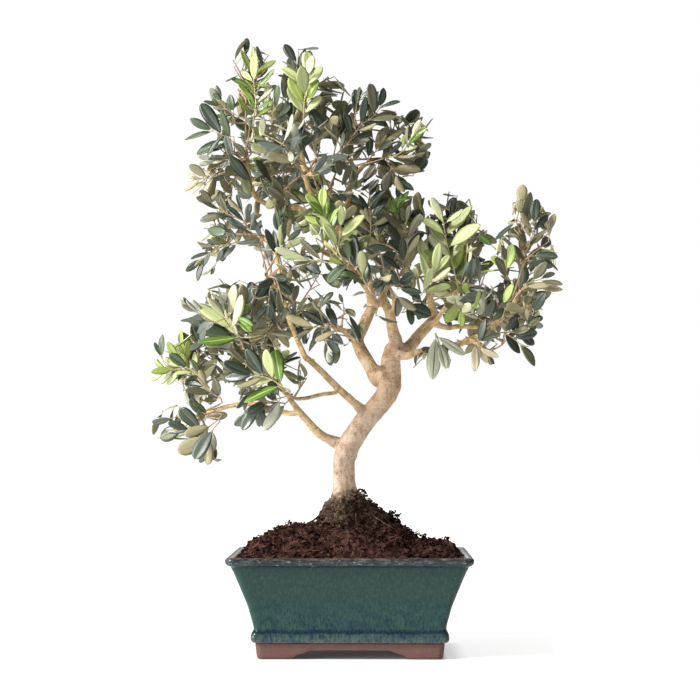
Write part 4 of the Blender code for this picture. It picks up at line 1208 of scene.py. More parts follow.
def plan_bough(parent, how, points, radius, tip_radius):
    """The centre line and radii of a bough, as in the frame, and a fine line for its skin."""
    waypoints = [Vector(point) for point in points]
    if how == TIP:
        start = parent["path"][-1] + parent["tip_axis"] * GAP
        lead = start + parent["tip_axis"] * radius * 1.2
        dense = smooth_path([start, lead] + waypoints[1:])
        before = [parent["path"][-1] - parent["tip_axis"] * 5.0]
    else:
        foot = nearest_on(parent, waypoints[0])[2]
        dense = smooth_path([foot] + waypoints)
        clear_at = 0
        for i in range(len(dense) - 1):
            axis = (dense[i + 1] - dense[i]).normalized()
            ring = swept_rings([dense[i], dense[i] + axis], [radius, radius], BOUGH_SIDES)[0]
            if all(is_clear(parent, point, GAP + 0.1) for point in ring):
                clear_at = i
                break
        before = dense[:clear_at]
        dense = dense[clear_at:]
    path = resample(dense, max(4, round(path_length(dense) / BOUGH_STEP) + 1))
    count = len(path)
    radii = [radius + (tip_radius - radius) * (i / (count - 1)) ** 0.8 for i in range(count)]
    length = path_length(dense)
    fine_count = max(8, round(length / 2.0))
    skin = resample(dense, fine_count)
    skin_radii = []
    for k in range(fine_count):
        share = k / (fine_count - 1)
        away = share * length
        collar = 1.0 + (0.22 if how == SIDE else 0.0) * math.exp(-(away / (radius * 1.3)) ** 2)
        joined = max(0.0, parent["radii"][-1] - radius) * math.exp(-away / 7.0) if how == TIP else 0.0
        skin_radii.append((radius + (tip_radius - radius) * share ** 0.8) * collar + joined)
    skin = before + skin
    skin_radii = [skin_radii[0]] * len(before) + skin_radii
    return {
        "path": path,
        "radii": radii,
        "tip_axis": tangents(path)[-1],
        "skin": skin,
        "skin_radii": skin_radii,
    }


def plan_limbs():
    """The trunk and all boughs by name, each with its centre line and radii."""
    centres = [Vector(centre) for centre, _, _ in TRUNK]
    limbs = {
        "trunk": {
            "path": centres,
            "radii": [radius for _, radius, _ in TRUNK],
            "tip_axis": tangents(centres)[-1],
        }
    }
    for name, parent, how, points, radius, tip_radius in BOUGHS:
        limbs[name] = plan_bough(limbs[parent], how, points, radius, tip_radius)
    for limb in limbs.values():
        limb["fine"], limb["fine_radii"] = fine_limb(limb["path"], limb["radii"])
    return limbs


def fine_limb(path, radii):
    """Close samples of a limb, for telling how near something passes."""
    fine = []
    fine_radii = []
    for i in range(len(path) - 1):
        steps = max(1, round((path[i + 1] - path[i]).length / 1.5))
        for k in range(steps):
            fine.append(path[i].lerp(path[i + 1], k / steps))
            fine_radii.append(radii[i] + (radii[i + 1] - radii[i]) * k / steps)
    fine.append(path[-1])
    fine_radii.append(radii[-1])
    return fine, fine_radii


TRUNK_SKIN_SIDES = 64
TRUNK_SKIN_STEPS = 6
TRUNK_SUNK = Vector((0.0, 0.0, -2.5))


def flare_reach(radius, roots, angle):
    """How far the trunk reaches at an angle, with the lobes that its roots make."""
    lobes = math.cos(3.0 * angle + 0.5) + 0.7 * math.cos(5.0 * angle + 2.2)
    return radius * (1.0 + roots * (lobes - 1.2) * 0.6)


def trunk_rings():
    """The trunk's outline as in the frame, in finer rings, and a little way into the soil."""
    centres = smooth_path([Vector(centre) for centre, _, _ in TRUNK], TRUNK_SKIN_STEPS)
    sizes = smooth_path([Vector((radius, roots, 0.0)) for _, radius, roots in TRUNK], TRUNK_SKIN_STEPS)
    axes = tangents(centres)
    rings = []
    for index, (centre, size) in enumerate(zip(centres, sizes)):
        level = index / TRUNK_SKIN_STEPS
        axis = axes[index] if level > FLARE_ROWS else UP
        side = (Vector((1, 0, 0)) - axis * axis.x).normalized()
        up = axis.cross(side)
        flat = 0.92 + 0.08 * ease(level, FLARE_ROWS - 2.0, FLARE_ROWS)
        ring = []
        for j in range(TRUNK_SKIN_SIDES):
            angle = 2.0 * math.pi * j / TRUNK_SKIN_SIDES
            reach = flare_reach(size.x, size.y, angle)
            ring.append(centre + side * (reach * math.cos(angle)) + up * (reach * flat * math.sin(angle)))
        rings.append(ring)
    sunk = [point + TRUNK_SUNK for point in rings[0]]
    return [sunk] + rings


# scars and swellings on the bark: where, how wide and how high
KNOTS = (
    ((45.6, -4, 244), 5, 1.6),
    ((4.6, -8, 222), 2.6, 1.6),
    ((5, -6, 190), 3.4, 0.9),
    ((4.8, -8, 178.5), 3, 1.3),
    ((32, -8, 228), 5, 0.8),
    ((-14, -5, 166), 4, 0.6),
    ((38, -9, 262), 4, 0.8),
    ((28, -7, 249), 3.5, 0.8),
    ((2, -9, 208), 3, 1),
    ((-6, -10, 172), 2.4, 0.8),
    ((20, -9, 232), 3, 0.7),
)
# stubs of cut twigs: where they start, which way they point, how long and thick
STUBS = (
    ((0, -12, 233), (-0.3, -0.2, 1), 5, 1.5),
    ((-34, -38, 264), (0.2, -0.3, 1), 5, 1.2),
    ((9, -6, 218), (-0.8, -0.2, 0.8), 3, 2),
    ((66, 16, 298), (0.2, -0.3, 1), 6, 1.5),
    ((104, -38, 284.5), (0.3, -0.4, 1), 5, 1.2),
    ((-8, -35, 295), (0.1, 0, 1), 15, 1.2),
)
SKIN_VOXEL = 0.85
SKIN_EASE_ROUNDS = 5
# bark looks thin up to one radius and thick from another, and this fades over a distance at a fork
THIN_RADIUS = 2.6
THICK_RADIUS = 8.6
COLLAR_FULL = 12.0
COLLAR_FADE = 26.0
# the bark's relief, as height and size: grain on thin and thick bark, swells on thick bark only, and
# lumps and crust round the roots, up to a height where they fade out
GRAIN_THIN = 0.10
GRAIN_THICKER = 0.28
GRAIN_SIZE = 3.4
SWELL_HIGH = 0.42
SWELL_SIZE = 11.0
LUMP_HIGH = 1.9
LUMP_SIZE = 6.5
CRUST_HIGH = 1.1
CRUST_SIZE = 2.6
ROOT_RELIEF_FADE = (138.0, 152.0)


def build_bark(limbs, bark):
    """One skin over the trunk and every bough, with collars at the forks and the bark's relief."""
    shape = Batch()
    shape.add(*loft(trunk_rings()), 0)
    for name, limb in limbs.items():
        if name != "trunk":
            tube(shape, limb["skin"], [r * 1.03 + 0.12 for r in limb["skin_radii"]], 14, 0)
    for start, heading, length, radius in STUBS:
        start = Vector(start)
        end = start + Vector(heading).normalized() * length
        tube(shape, [start, start.lerp(end, 0.5), end], [radius * 1.3, radius, radius * 0.9], 12, 0)
    skin = add_mesh("bark_skin", shape.verts, shape.faces, (bark,))
    remesh = skin.modifiers.new("skin", "REMESH")
    remesh.mode = "VOXEL"
    remesh.voxel_size = SKIN_VOXEL * MM
    remesh.use_smooth_shade = True
    soften = skin.modifiers.new("soften", "SMOOTH")
    soften.factor = 0.5
    soften.iterations = SKIN_EASE_ROUNDS
    apply_modifiers(skin)
    skin.data.materials.clear()
    skin.data.materials.append(bark)
    relieve_bark(skin, limbs)
    return place(skin, tuple(limbs))


def find_girths(limbs):
    """A tree of places along the limbs, and how thick the bark looks at each, blended at the forks."""
    samples = []
    for limb in limbs.values():
        samples.extend(zip(limb["fine"], limb["fine_radii"]))
    tree = kdtree.KDTree(len(samples))
    for number, (centre, _) in enumerate(samples):
        tree.insert(centre, number)
    tree.balance()
    girths = []
    for centre, _ in samples:
        fades = []
        for _, number, gap in tree.find_range(centre, COLLAR_FADE):
            thick = ease(samples[number][1], THIN_RADIUS, THICK_RADIUS)
            fades.append(thick * (1.0 - ease(gap, COLLAR_FULL, COLLAR_FADE)))
        girths.append(max(fades))
    return tree, girths


def relieve_bark(skin, limbs):
    """Moves the skin by its bark's relief and its knots, and notes how thick the bark looks."""
    tree, sample_girths = find_girths(limbs)
    mesh = skin.data
    girths = []
    moved = []
    for vert in mesh.vertices:
        point = vert.co / MM
        normal = vert.normal
        girth = sample_girths[tree.find(point)[1]]
        girths.append(girth)
        foot = 1.0 - ease(point.z, *ROOT_RELIEF_FADE)
        grain = Vector((point.x, point.y, point.z * 0.4))
        push = (GRAIN_THIN + GRAIN_THICKER * girth) * rough(grain, GRAIN_SIZE)
        push += SWELL_HIGH * girth * rough(point, SWELL_SIZE, 2)
        crust = CRUST_HIGH * rough(point + Vector((9, 9, 9)), CRUST_SIZE)
        push += foot * (LUMP_HIGH * rough(point, LUMP_SIZE) + crust)
        for place_at, wide, high in KNOTS:
            away = (point - Vector(place_at)).length
            if away < wide * 2.5:
                push += high * math.exp(-(away / wide) ** 2)
        moved.append(vert.co + normal * (push * MM))
    for vert, place_at in zip(mesh.vertices, moved):
        vert.co = place_at
    attribute = mesh.attributes.new("girth", "FLOAT", "POINT")
    attribute.data.foreach_set("value", girths)
    mesh.update()


MOSS_TUFTS = 1500
MOSS_FROM = 115.5
MOSS_RISE = 34.0
# how much the roots shape the flare below a height and above it, and how deep it is against its width
ROOTS_LOW = 0.19
ROOTS_HIGH = 0.12
ROOTS_LOW_TO = 134.0
FLARE_DEPTH = 0.95
# a patch is mossy above one level of noise and woody below another
MOSSY_FROM = 0.12
WOODY_TO = -0.18
# roots that show: degrees round the trunk, where they start and end, thickness
ROOTS = (
    (-158, 29, 54, 1.2),
    (-121, 27, 46, 0.8),
    (-84, 27, 45, 1),
    (-52, 29, 56, 0.8),
    (-31, 28, 48, 0.6),
    (18, 28, 50, 1.2),
    (72, 26, 46, 1.3),
    (118, 27, 50, 1),
    (160, 29, 48, 1.3),
)
ROOT_POINTS = 9
ROOT_HIGH = 128.0
ROOT_DROP = 12.5
ROOT_BEND = 0.25


def build_root_foot(moss, moss_dark, root, earth):
    """Moss and crumbs that cling to the flare, and roots that show where they enter the soil."""
    chance = random.Random(SEED + 2)
    radii_at = [(centre[2], radius) for centre, radius, _ in TRUNK]
    tufts = Batch()
    for _ in range(MOSS_TUFTS):
        z = MOSS_FROM + MOSS_RISE * chance.random() ** 1.35
        angle = chance.uniform(0.0, 2.0 * math.pi)
        roots = ROOTS_LOW if z < ROOTS_LOW_TO else ROOTS_HIGH
        reach = flare_reach(read_between(radii_at, z), roots, angle) + chance.uniform(-0.6, 0.9)
        spot = Vector((reach * math.cos(angle) + 0.5, reach * FLARE_DEPTH * math.sin(angle), z))
        patch = rough(spot, 7.0, 2)
        if patch > MOSSY_FROM:
            slots = (0, 0, 1)
        elif patch < WOODY_TO:
            slots = (2, 2, 1)
        else:
            slots = (1, 3, 2)
        drop_crumb(tufts, spot, chance.uniform(0.9, 2.9), chance, slots, 1.6)
    place(add_batch("root_moss", tufts, (moss, moss_dark, root, earth), smooth=False))
    runs = Batch()
    shares = [k / (ROOT_POINTS - 1) for k in range(ROOT_POINTS)]
    for degrees, near, far, thick in ROOTS:
        angle = math.radians(degrees)
        bend = chance.uniform(-ROOT_BEND, ROOT_BEND)
        path = []
        for share in shares:
            reach = near + (far - near) * share
            turn = angle + bend * share
            z = ROOT_HIGH - ROOT_DROP * share ** 0.8
            spot = Vector((TRUNK_FOOT[0] + reach * math.cos(turn), reach * FLARE_DEPTH * math.sin(turn), z))
            spot.z = max(spot.z - 1.0 * share, soil_height(spot.x, spot.y) + 0.4 - 2.2 * share ** 3)
            spot.z += 0.8 * rough(spot, 5.0, 2)
            path.append(spot)
        tube(runs, path, [thick * (0.75 - 0.4 * share) for share in shares], 8, 0)
    place(add_batch("surface_roots", runs, (root,)))


# ---------------------------------------------------------------- twigs and leaves

MIDDLES = np.array([mass[2] for mass in MASSES], float)
REACHES = np.array([mass[3] for mass in MASSES], float)


def owns(number, points, outer=1.0):
    """Whether a mass owns every one of the points, as its own space is the nearest."""
    away = (points[:, None, :] - MIDDLES[None]) / REACHES[None]
    spaces = np.sqrt((away * away).sum(axis=2))
    mine = spaces[:, number].copy()
    if mine.max() > outer:
        return False
    spaces[:, number] = np.inf
    return bool((spaces.min(axis=1) >= mine + CELL_MARGIN).all())


OPEN_TABLE = np.array([(*row, THROUGH) for row in OPENINGS] + list(SHALLOW_OPENINGS), float)
EYE = np.array(CAMERA_PLACE)


def seen_flat(points):
    """Where points stand across the middle plane for someone at the camera's place."""
    shrink = EYE[1] / (EYE[1] - points[:, 1])
    return EYE[[0, 2]] + (points[:, [0, 2]] - EYE[[0, 2]]) * shrink[:, None]


def in_opening(points):
    """Whether any of the points is where the crown is open."""
    away = (seen_flat(points)[:, None, :] - OPEN_TABLE[None, :, :2]) / OPEN_TABLE[None, :, 2:4]
    inside = (away * away).sum(axis=2) < 1.0
    return bool((inside & (points[:, 1][:, None] < OPEN_TABLE[None, :, 4])).any())


class Shown:
    """The leaves of the shoots that stand out, which the rest of the crown keeps from hiding."""

    def __init__(self, leaves):
        bases = np.array([leaf["arrays"][0] for leaf in leaves])
        tips = np.array([leaf["arrays"][0] + leaf["arrays"][1] * leaf["length"] for leaf in leaves])
        self.bases = seen_flat(bases)
        self.spans = seen_flat(tips) - self.bases
        self.lengths = np.maximum((self.spans ** 2).sum(axis=1), 1.0)
        self.halves = np.array([leaf["width"] for leaf in leaves]) * 0.42
        self.depths = (bases[:, 1] + tips[:, 1]) * 0.5

    def hidden_by(self, points):
        away = seen_flat(points)[:, None, :] - self.bases[None]
        share = np.clip((away * self.spans[None]).sum(axis=2) / self.lengths[None], 0.0, 1.0)
        miss = away - share[:, :, None] * self.spans[None]
        near = (miss * miss).sum(axis=2) < (self.halves * self.halves)[None]
        return bool((near & (points[:, 1][:, None] < self.depths[None])).any())


STEM_POINTS = 25
SHARED_STEM_RADIUS = 1.0
STEM_END_RADIUS = 0.6


def stem_path(bough, mass, slots):
    """The stem: from just clear of the bough's tip, through the mass's middle."""
    _, _, middle, reach, _ = mass
    middle = Vector(middle)
    axis = bough["tip_axis"]
    start = bough["path"][-1] + axis * GAP
    toward = middle - start
    if slots > 1:
        others = [Vector(m[2]) for m in MASSES if m[1] == mass[1] and m is not mass]
        apart = middle - others[0]
        start = start + (apart - axis * apart.dot(axis)).normalized() * STEM_RADIUS
    far = toward.length
    ahead = toward.normalized()
    stretch = 1.0 / math.sqrt(sum((ahead[i] / reach[i]) ** 2 for i in range(3)))
    beyond = max(-0.4 * stretch, min(0.3 * stretch, stretch - LEAF_LENGTH_IN_FRAME))
    end = middle + ahead * beyond + Vector((0, 0, reach[2] * 0.08))
    bend = start + axis * (far * 0.28 * max(0.3, axis.dot(ahead)))
    near = middle - (ahead * 0.7 + Vector((0, 0, 0.25))) * (far * 0.22)
    path = []
    for k in range(STEM_POINTS):
        t = k / (STEM_POINTS - 1)
        s = 1.0 - t
        path.append(start * s ** 3 + bend * (3 * s * s * t) + near * (3 * s * t * t) + end * t ** 3)
    return path


def arrays(points):
    return np.array([tuple(point) for point in points], float)


NEAR_MARGIN = 12.0
TWIG_CLEAR = 1.6


class Crown:
    """What one mass has grown so far, and what it has to keep clear of."""

    def __init__(self, number, limbs, stems):
        self.number = number
        self.name, _, self.middle, self.reach, self.twig_count = MASSES[number]
        self.chance = random.Random(f"{SEED} {self.name}")
        self.leaves = []
        self.shoots = []
        self.bars = []
        self.bar_radii = []
        middle = np.array(self.middle, float)
        span = np.array(self.reach, float) + NEAR_MARGIN
        for name, limb in list(limbs.items()) + list(stems.items()):
            if name == self.name:
                continue
            centres = arrays(limb["fine"])
            radii = np.array(limb["fine_radii"], float)
            near = (np.abs(centres - middle) < span).all(axis=1)
            self.bars.append(centres[near])
            self.bar_radii.append(radii[near])
        self.freeze()

    def freeze(self):
        self.centres = np.concatenate(self.bars)
        self.radii = np.concatenate(self.bar_radii)

    def add_bar(self, path, radius):
        fine, radii = fine_limb(path, [radius] * len(path))
        self.bars.append(arrays(fine))
        self.bar_radii.append(np.array(radii, float))

    def path_fits(self, path, skip):
        points = arrays(path)[skip:]
        if not owns(self.number, points):
            return False
        if len(self.centres) == 0:
            return True
        away = np.linalg.norm(points[:, None, :] - self.centres[None], axis=2)
        return bool((away > self.radii[None] + TWIG_CLEAR).all())

    def leaf_fits(self, leaf, shown):
        """A leaf of the filling keeps to its own space; one that stands out may reach a little beyond it."""
        points = leaf_samples(leaf)
        if shown is None:
            away = (points - MIDDLES[self.number]) / REACHES[self.number]
            if (away * away).sum(axis=1).max() > FREE_REACH ** 2 or outside_frame(points):
                return False
        elif not owns(self.number, points) or in_opening(points) or shown.hidden_by(points):
            return False
        if leaf_hits(leaf, self.centres, self.radii):
            return False
        return not any(leaves_cross(leaf, other) for other in self.leaves)


FREE_REACH = 1.25
FRAME_LOW = np.array(tuple(cad_low), float) / MM
FRAME_HIGH = np.array(tuple(cad_high), float) / MM


def outside_frame(points):
    return bool((points < FRAME_LOW).any() or (points > FRAME_HIGH).any())


def leaf_samples(leaf):
    """Places on a leaf's blade, for testing where it lies."""
    root, axis, side, _ = leaf["arrays"]
    points = []
    for share, half in ((0.3, 0.4), (0.55, 0.5), (0.8, 0.35), (1.0, 0.0)):
        centre = root + axis * (leaf["length"] * share)
        points.append(centre)
        if half:
            points.append(centre + side * (leaf["width"] * half))
            points.append(centre - side * (leaf["width"] * half))
    return np.array(points)


# a blade may touch wood along its first stretch, and keeps clear of it beyond that
TOUCHING_STRETCH = 4.5
CLEAR_OVER = 0.7
CLEAR_BESIDE = 0.3
CLEAR_AHEAD = 0.4


def leaf_hits(leaf, centres, radii):
    """True where a limb or twig passes through the blade, beyond its first stretch."""
    if len(centres) == 0:
        return False
    root, axis, side, normal = leaf["arrays"]
    away = centres - root
    along = away @ axis
    out = np.abs(away @ normal) - radii
    share = np.clip(along / leaf["length"], 0.0, 1.0)
    half = leaf["width"] * 0.5 * np.sqrt(np.clip(4.0 * share * (1.0 - share), 0.0, 1.0))
    hit = (along > TOUCHING_STRETCH) & (along < leaf["length"] + radii + CLEAR_AHEAD) & (out < CLEAR_OVER)
    hit &= np.abs(away @ side) < half + radii + CLEAR_BESIDE
    return bool(hit.any())


def leaves_cross(first, second):
    """Whether an edge of one of the leaves passes through the other's blade."""
    if (first["centre"] - second["centre"]).length > (first["length"] + second["length"]) * 0.5:
        return False
    for one, two in ((first, second), (second, first)):
        corners = one["outline"]
        for a, b in zip(corners, corners[1:] + corners[:1]):
            da = (a - two["centre"]).dot(two["normal"])
            db = (b - two["centre"]).dot(two["normal"])
            if da * db > 0.0 or abs(da - db) < 1e-9:
                continue
            point = a.lerp(b, da / (da - db)) - two["root"]
            along = point.dot(two["axis"])
            if along < 2.0 or along > two["length"]:
                continue
            share = along / two["length"]
            half = two["width"] * 0.5 * math.sqrt(max(0.0, 4.0 * share * (1.0 - share)))
            if abs(point.dot(two["side"])) < half + 0.2:
                return True
    return False


# how leaves vary: middle and spread of their bend, twist and cup, and least and most bluntness
LEAF_BEND = (0.035, 0.045)
LEAF_TWIST = (0.0, 0.22)
LEAF_CUP = (0.14, 0.12)
LEAF_BLUNT = (0.15, 1.0)


def make_leaf(root, axis, face_up, length, width, tint, chance):
    if chance.random() < TURNED_OVER:
        face_up = -face_up
    side = axis.cross(face_up).normalized()
    normal = side.cross(axis).normalized()
    centre = root + axis * (length * 0.5)
    return {
        "root": root,
        "axis": axis,
        "side": side,
        "normal": normal,
        "length": length,
        "width": width,
        "tint": tint,
        "centre": centre,
        "arrays": tuple(np.array(tuple(v), float) for v in (root, axis, side, normal)),
        "outline": [
            root + axis * 1.5,
            centre + side * width * 0.5,
            root + axis * length,
            centre - side * width * 0.5,
        ],
        "bend": chance.gauss(*LEAF_BEND),
        "twist": chance.gauss(*LEAF_TWIST),
        "cup": chance.gauss(*LEAF_CUP),
        "blunt": chance.uniform(*LEAF_BLUNT),
    }


PAIR_JITTER = 0.3
LEAF_JITTER = 0.2
SPREAD_JITTER_DEG = 20.0
LENGTH_RANGE = (0.74, 1.14)
WIDTH_RANGE = (0.85, 1.18)
# the last pair of a shoot is smaller and points more forward
LAST_SPREAD = 0.6
LAST_LENGTH = 0.82


def leaf_pairs(crown, shoot, shown):
    """Opposite pairs along a shoot, each pair turned a quarter from the last. Gives how far they reach."""
    chance = crown.chance
    path = shoot["path"]
    first = shoot["first"]
    axes = tangents(path)
    step = LEAF_STEP * shoot["span"] / LEAF_LENGTH
    count = max(1, round(path_length(path) * (1.0 - first) / step))
    turn = chance.uniform(0.0, math.pi)
    reached = 0.0
    for k in range(count + 1):
        share = first + (1.0 - first) * k / count
        centre, i, part = spot_at(path, share)
        axis = axes[i].lerp(axes[i + 1], part).normalized()
        turn += math.pi / 2 + chance.uniform(-PAIR_JITTER, PAIR_JITTER)
        tint = chance.choice(shoot["tints"])
        for flip in (0.0, math.pi):
            for attempt in range(LEAF_TRIES):
                leaf = try_leaf(shoot, centre, axis, turn + flip, attempt, k == count, tint, shown, chance)
                if crown.leaf_fits(leaf, shown):
                    crown.leaves.append(leaf)
                    reached = share
                    break
    if reached > 0.99:
        bud_pair(crown, path[-1], axes[-1], tint, turn, shown)
    return reached


def try_leaf(shoot, centre, axis, turn, attempt, last, tint, shown, chance):
    """One leaf at a place on a shoot; each new attempt strays further and is a little smaller."""
    side, up = frame_from(axis, UP)
    out = around(side, up, turn + chance.uniform(-LEAF_JITTER, LEAF_JITTER) * (1 + attempt))
    out.y *= SPRAY_DEPTH if shown is None else FILLING_DEPTH
    out.normalize()
    wide_angle = SPRAY_SPREAD if shown is None else LEAF_SPREAD
    jitter = chance.uniform(-SPREAD_JITTER_DEG, SPREAD_JITTER_DEG)
    spread = math.radians(wide_angle * (LAST_SPREAD if last else 1.0) + jitter)
    spread += attempt * chance.uniform(-0.08, 0.14)
    heading = around(axis, out, spread).normalized()
    span = shoot["span"] * chance.uniform(*LENGTH_RANGE) * (LAST_LENGTH if last else 1.0)
    span *= 1.0 - 0.05 * attempt
    wide = span * shoot["share"] * chance.uniform(*WIDTH_RANGE)
    face_up = axis + Vector((0, 0, 0.5)) - out * 0.6
    if shown is None:
        face_up = face_up * 0.35 + FRONT
    face_up.normalize()
    leaf = make_leaf(centre + heading * PETIOLE_LENGTH, heading, face_up, span, wide, tint, chance)
    leaf["stalk_from"] = centre
    return leaf


BUD_LENGTH = (0.26, 0.45)
BUD_WIDTH = 0.32
BUD_SPREAD = 0.22


def bud_pair(crown, tip, axis, tint, turn, shown):
    """The two small leaves that a shoot ends in."""
    chance = crown.chance
    side, up = frame_from(axis, UP)
    for flip in (0.0, math.pi):
        out = around(side, up, turn + math.pi / 2 + flip)
        heading = (axis + out * BUD_SPREAD).normalized()
        span = LEAF_LENGTH * chance.uniform(*BUD_LENGTH)
        face_up = (axis * 0.4 - out).normalized()
        leaf = make_leaf(tip + axis * 0.5, heading, face_up, span, span * BUD_WIDTH, tint, chance)
        leaf["stalk_from"] = tip - axis * 0.5
        if crown.leaf_fits(leaf, shown):
            crown.leaves.append(leaf)


# where more of the young shoots are: middle, radius and the share of shoots there that are young
YOUNG_SPOTS = (
    ((-85, 20, 520), 34, 0.30),
    ((-42, 10, 520), 34, 0.30),
    ((-20, -70, 372), 36, 0.30),
    ((92, -30, 360), 44, 0.45),
    ((-103, -40, 300), 40, 0.35),
    ((-160, 20, 270), 30, 0.40),
    ((-76, -66, 250), 36, 0.30),
    ((165, -50, 380), 30, 0.20),
)
YOUNG_ELSEWHERE = 0.06
YOUNG_TINTS = ("young", "lime", "vivid")
# other tints: name, share on the left and share on the right; more grey-blue on the lit left and more dark
# leaves on the right is partly painted sheen and shade
TINT_SHARES = (
    ("dark", 0.28, 0.40),
    ("blue", 0.34, 0.10),
    ("green", 0.20, 0.18),
    ("olive", 0.18, 0.32),
)
LEFT_END = -150.0
RIGHT_END = 120.0


def pick_tint(place_at, chance):
    """The colour of one spray: young where the pale shoots are, and otherwise by how far right it is, partly
    as painted sheen on the lit left and painted shade on the right.
    """
    draw = chance.random()
    young = YOUNG_ELSEWHERE
    for middle, radius, share in YOUNG_SPOTS:
        if (place_at - Vector(middle)).length < radius:
            young = max(young, share)
    if draw < young:
        return chance.choice(YOUNG_TINTS)
    right = max(0.0, min(1.0, (place_at.x - LEFT_END) / (RIGHT_END - LEFT_END)))
    draw = chance.random()
    for name, on_left, on_right in TINT_SHARES:
        draw -= on_left + (on_right - on_left) * right
        if draw < 0.0:
            return name
    return TINT_SHARES[0][0]


def bowed(start, end, rise, chance, count):
    """A shoot from start to end with a slight bow."""
    along = end - start
    side, up = frame_from(along.normalized(), UP)
    bow = up * (along.length * rise) + side * (along.length * chance.uniform(-0.08, 0.08))
    path = []
    for k in range(count):
        t = k / (count - 1)
        path.append(start + along * t + bow * (4.0 * t * (1.0 - t) * 0.5))
    return path


def new_shoot(path, radius, tints, first, span=LEAF_LENGTH, share=LEAF_SHARE):
    return {"path": path, "radius": radius, "tints": tints, "first": first, "span": span, "share": share}


LATEST_FIRST = 0.85
FEWEST_TWIGS = 3
NEAREST_TWIG_END = 7.0
# a twig that doesn't fit is tried again at a share of its length
TWIG_TRIES = (1.0, 0.92, 0.84, 0.76)
# twigs leave the stem between two shares of it, and start below the place they are aimed at
TWIGS_FROM = 0.12
TWIGS_TO = 0.9
TWIG_STARTS_BELOW = 0.55
TWIG_BOW = (-0.03, 0.10)
TWIG_POINTS = 13
TWIG_LEAVES_FROM = 0.40
STEM_LEAVES_FROM = 0.25
# side twigs leave a twig from one share of it on, over a stretch
SIDE_TWIGS_FROM = 0.30
SIDE_TWIGS_STRETCH = 0.55
SIDE_TWIG_TRIES = 5
SIDE_TWIG_ANGLES = (38.0, 62.0)
SIDE_TWIG_BOW = (-0.02, 0.12)
SIDE_TWIG_POINTS = 7
SIDE_TWIG_LEAF_SPAN = (0.75, 1.0)
SIDE_TWIG_OWN_TINT = 0.45


def grow_sprays(crown, stem):
    """The shoots that stand out: each leaves the stem where it is nearest and runs through its points."""
    path = stem["path"]
    shoots = []
    for depth, points, first, tints, span, share in SPRAYS.get(crown.name, ()):
        waypoints = [Vector((x, depth, z)) for x, z in points]
        near = min(range(3, len(path)), key=lambda i: (path[i] - waypoints[0]).length)
        lead = (waypoints[0] - path[near]).length
        dense = smooth_path([path[near]] + waypoints)
        line = resample(dense, max(8, round(path_length(dense) / 4.0)))
        begin = (lead + (path_length(dense) - lead) * first) / path_length(dense)
        shoots.append(new_shoot(line, TWIG_RADIUS, tints.split(), min(begin, LATEST_FIRST), span, share))
        crown.add_bar(line, TWIG_RADIUS)
    crown.freeze()
    for shoot in shoots:
        shoot["reached"] = 1.0
        leaf_pairs(crown, shoot, None)
    crown.shoots.extend(shoots)


def grow_filling(crown, stem, shown):
    """Twigs from the stem to points spread over the space, side twigs on them, and leaves."""
    chance = crown.chance
    middle = Vector(crown.middle)
    path = stem["path"]
    lengths = running_lengths(path)
    offset = chance.uniform(0.0, 6.28)
    count = round((crown.twig_count or FEWEST_TWIGS) * MORE_TWIGS)
    mains = []
    for k in range(count):
        high = 1.0 - 2.0 * (k + 0.5) / count
        flat = math.sqrt(1.0 - high * high)
        angle = offset + GOLDEN * k
        aim = Vector((flat * math.cos(angle), flat * math.sin(angle), high))
        target = middle + Vector([aim[i] * crown.reach[i] * TWIG_REACH for i in range(3)])
        near = min(range(len(path)), key=lambda i: (path[i] - target).length)
        far = (path[near] - target).length
        if far < NEAREST_TWIG_END:
            continue
        below = lengths[near] - far * TWIG_STARTS_BELOW
        want = max(lengths[-1] * TWIGS_FROM, min(below, lengths[-1] * TWIGS_TO))
        start = path[min(range(len(path)), key=lambda n: abs(lengths[n] - want))]
        tip = middle + Vector([aim[i] * crown.reach[i] * LEADER_REACH for i in range(3)])
        for share in TWIG_TRIES:
            end = start.lerp(tip, share)
            twig = bowed(start, end, chance.uniform(*TWIG_BOW), chance, TWIG_POINTS)
            if crown.path_fits(twig, 4):
                mains.append(new_shoot(twig, TWIG_RADIUS, (pick_tint(end, chance),), TWIG_LEAVES_FROM))
                break
    for main in mains:
        crown.add_bar(main["path"], TWIG_RADIUS)
    crown.freeze()
    mains.append(new_shoot(path[len(path) // 2:], 0.0, (pick_tint(path[-1], chance),), STEM_LEAVES_FROM))
    shoots = list(mains)
    for main in mains:
        shoots.extend(side_shoots(crown, main))
    crown.freeze()
    for shoot in shoots:
        shoot["reached"] = leaf_pairs(crown, shoot, shown)
    crown.shoots.extend(shoots)


def side_shoots(crown, main):
    """Short twigs that leave a longer one, each turned by the golden angle from the last."""
    chance = crown.chance
    path = main["path"]
    axes = tangents(path)
    count = max(1, round(path_length(path) / SIDE_TWIG_STEP))
    turn = chance.uniform(0.0, 6.28)
    made = []
    for k in range(count):
        share = SIDE_TWIGS_FROM + SIDE_TWIGS_STRETCH * (k + chance.uniform(0.2, 0.8)) / count
        start, i, _ = spot_at(path, share)
        side, up = frame_from(axes[i], UP)
        turn += GOLDEN
        for attempt in range(SIDE_TWIG_TRIES):
            out = around(side, up, turn + attempt * 1.1) + Vector((0, 0, 0.25))
            spread = math.radians(chance.uniform(*SIDE_TWIG_ANGLES))
            heading = around(axes[i], out.normalized(), spread).normalized()
            end = start + heading * (chance.uniform(*SIDE_TWIG_LENGTH) * (1.0 - 0.1 * attempt))
            twig = bowed(start, end, chance.uniform(*SIDE_TWIG_BOW), chance, SIDE_TWIG_POINTS)
            if crown.path_fits(twig, 2):
                crown.add_bar(twig, SIDE_TWIG_RADIUS)
                own = chance.random() < SIDE_TWIG_OWN_TINT
                tints = (pick_tint(end, chance),) if own else main["tints"]
                span = LEAF_LENGTH * chance.uniform(*SIDE_TWIG_LEAF_SPAN)
                made.append(new_shoot(twig, SIDE_TWIG_RADIUS, tints, STEM_LEAVES_FROM, span))
                break
    return made


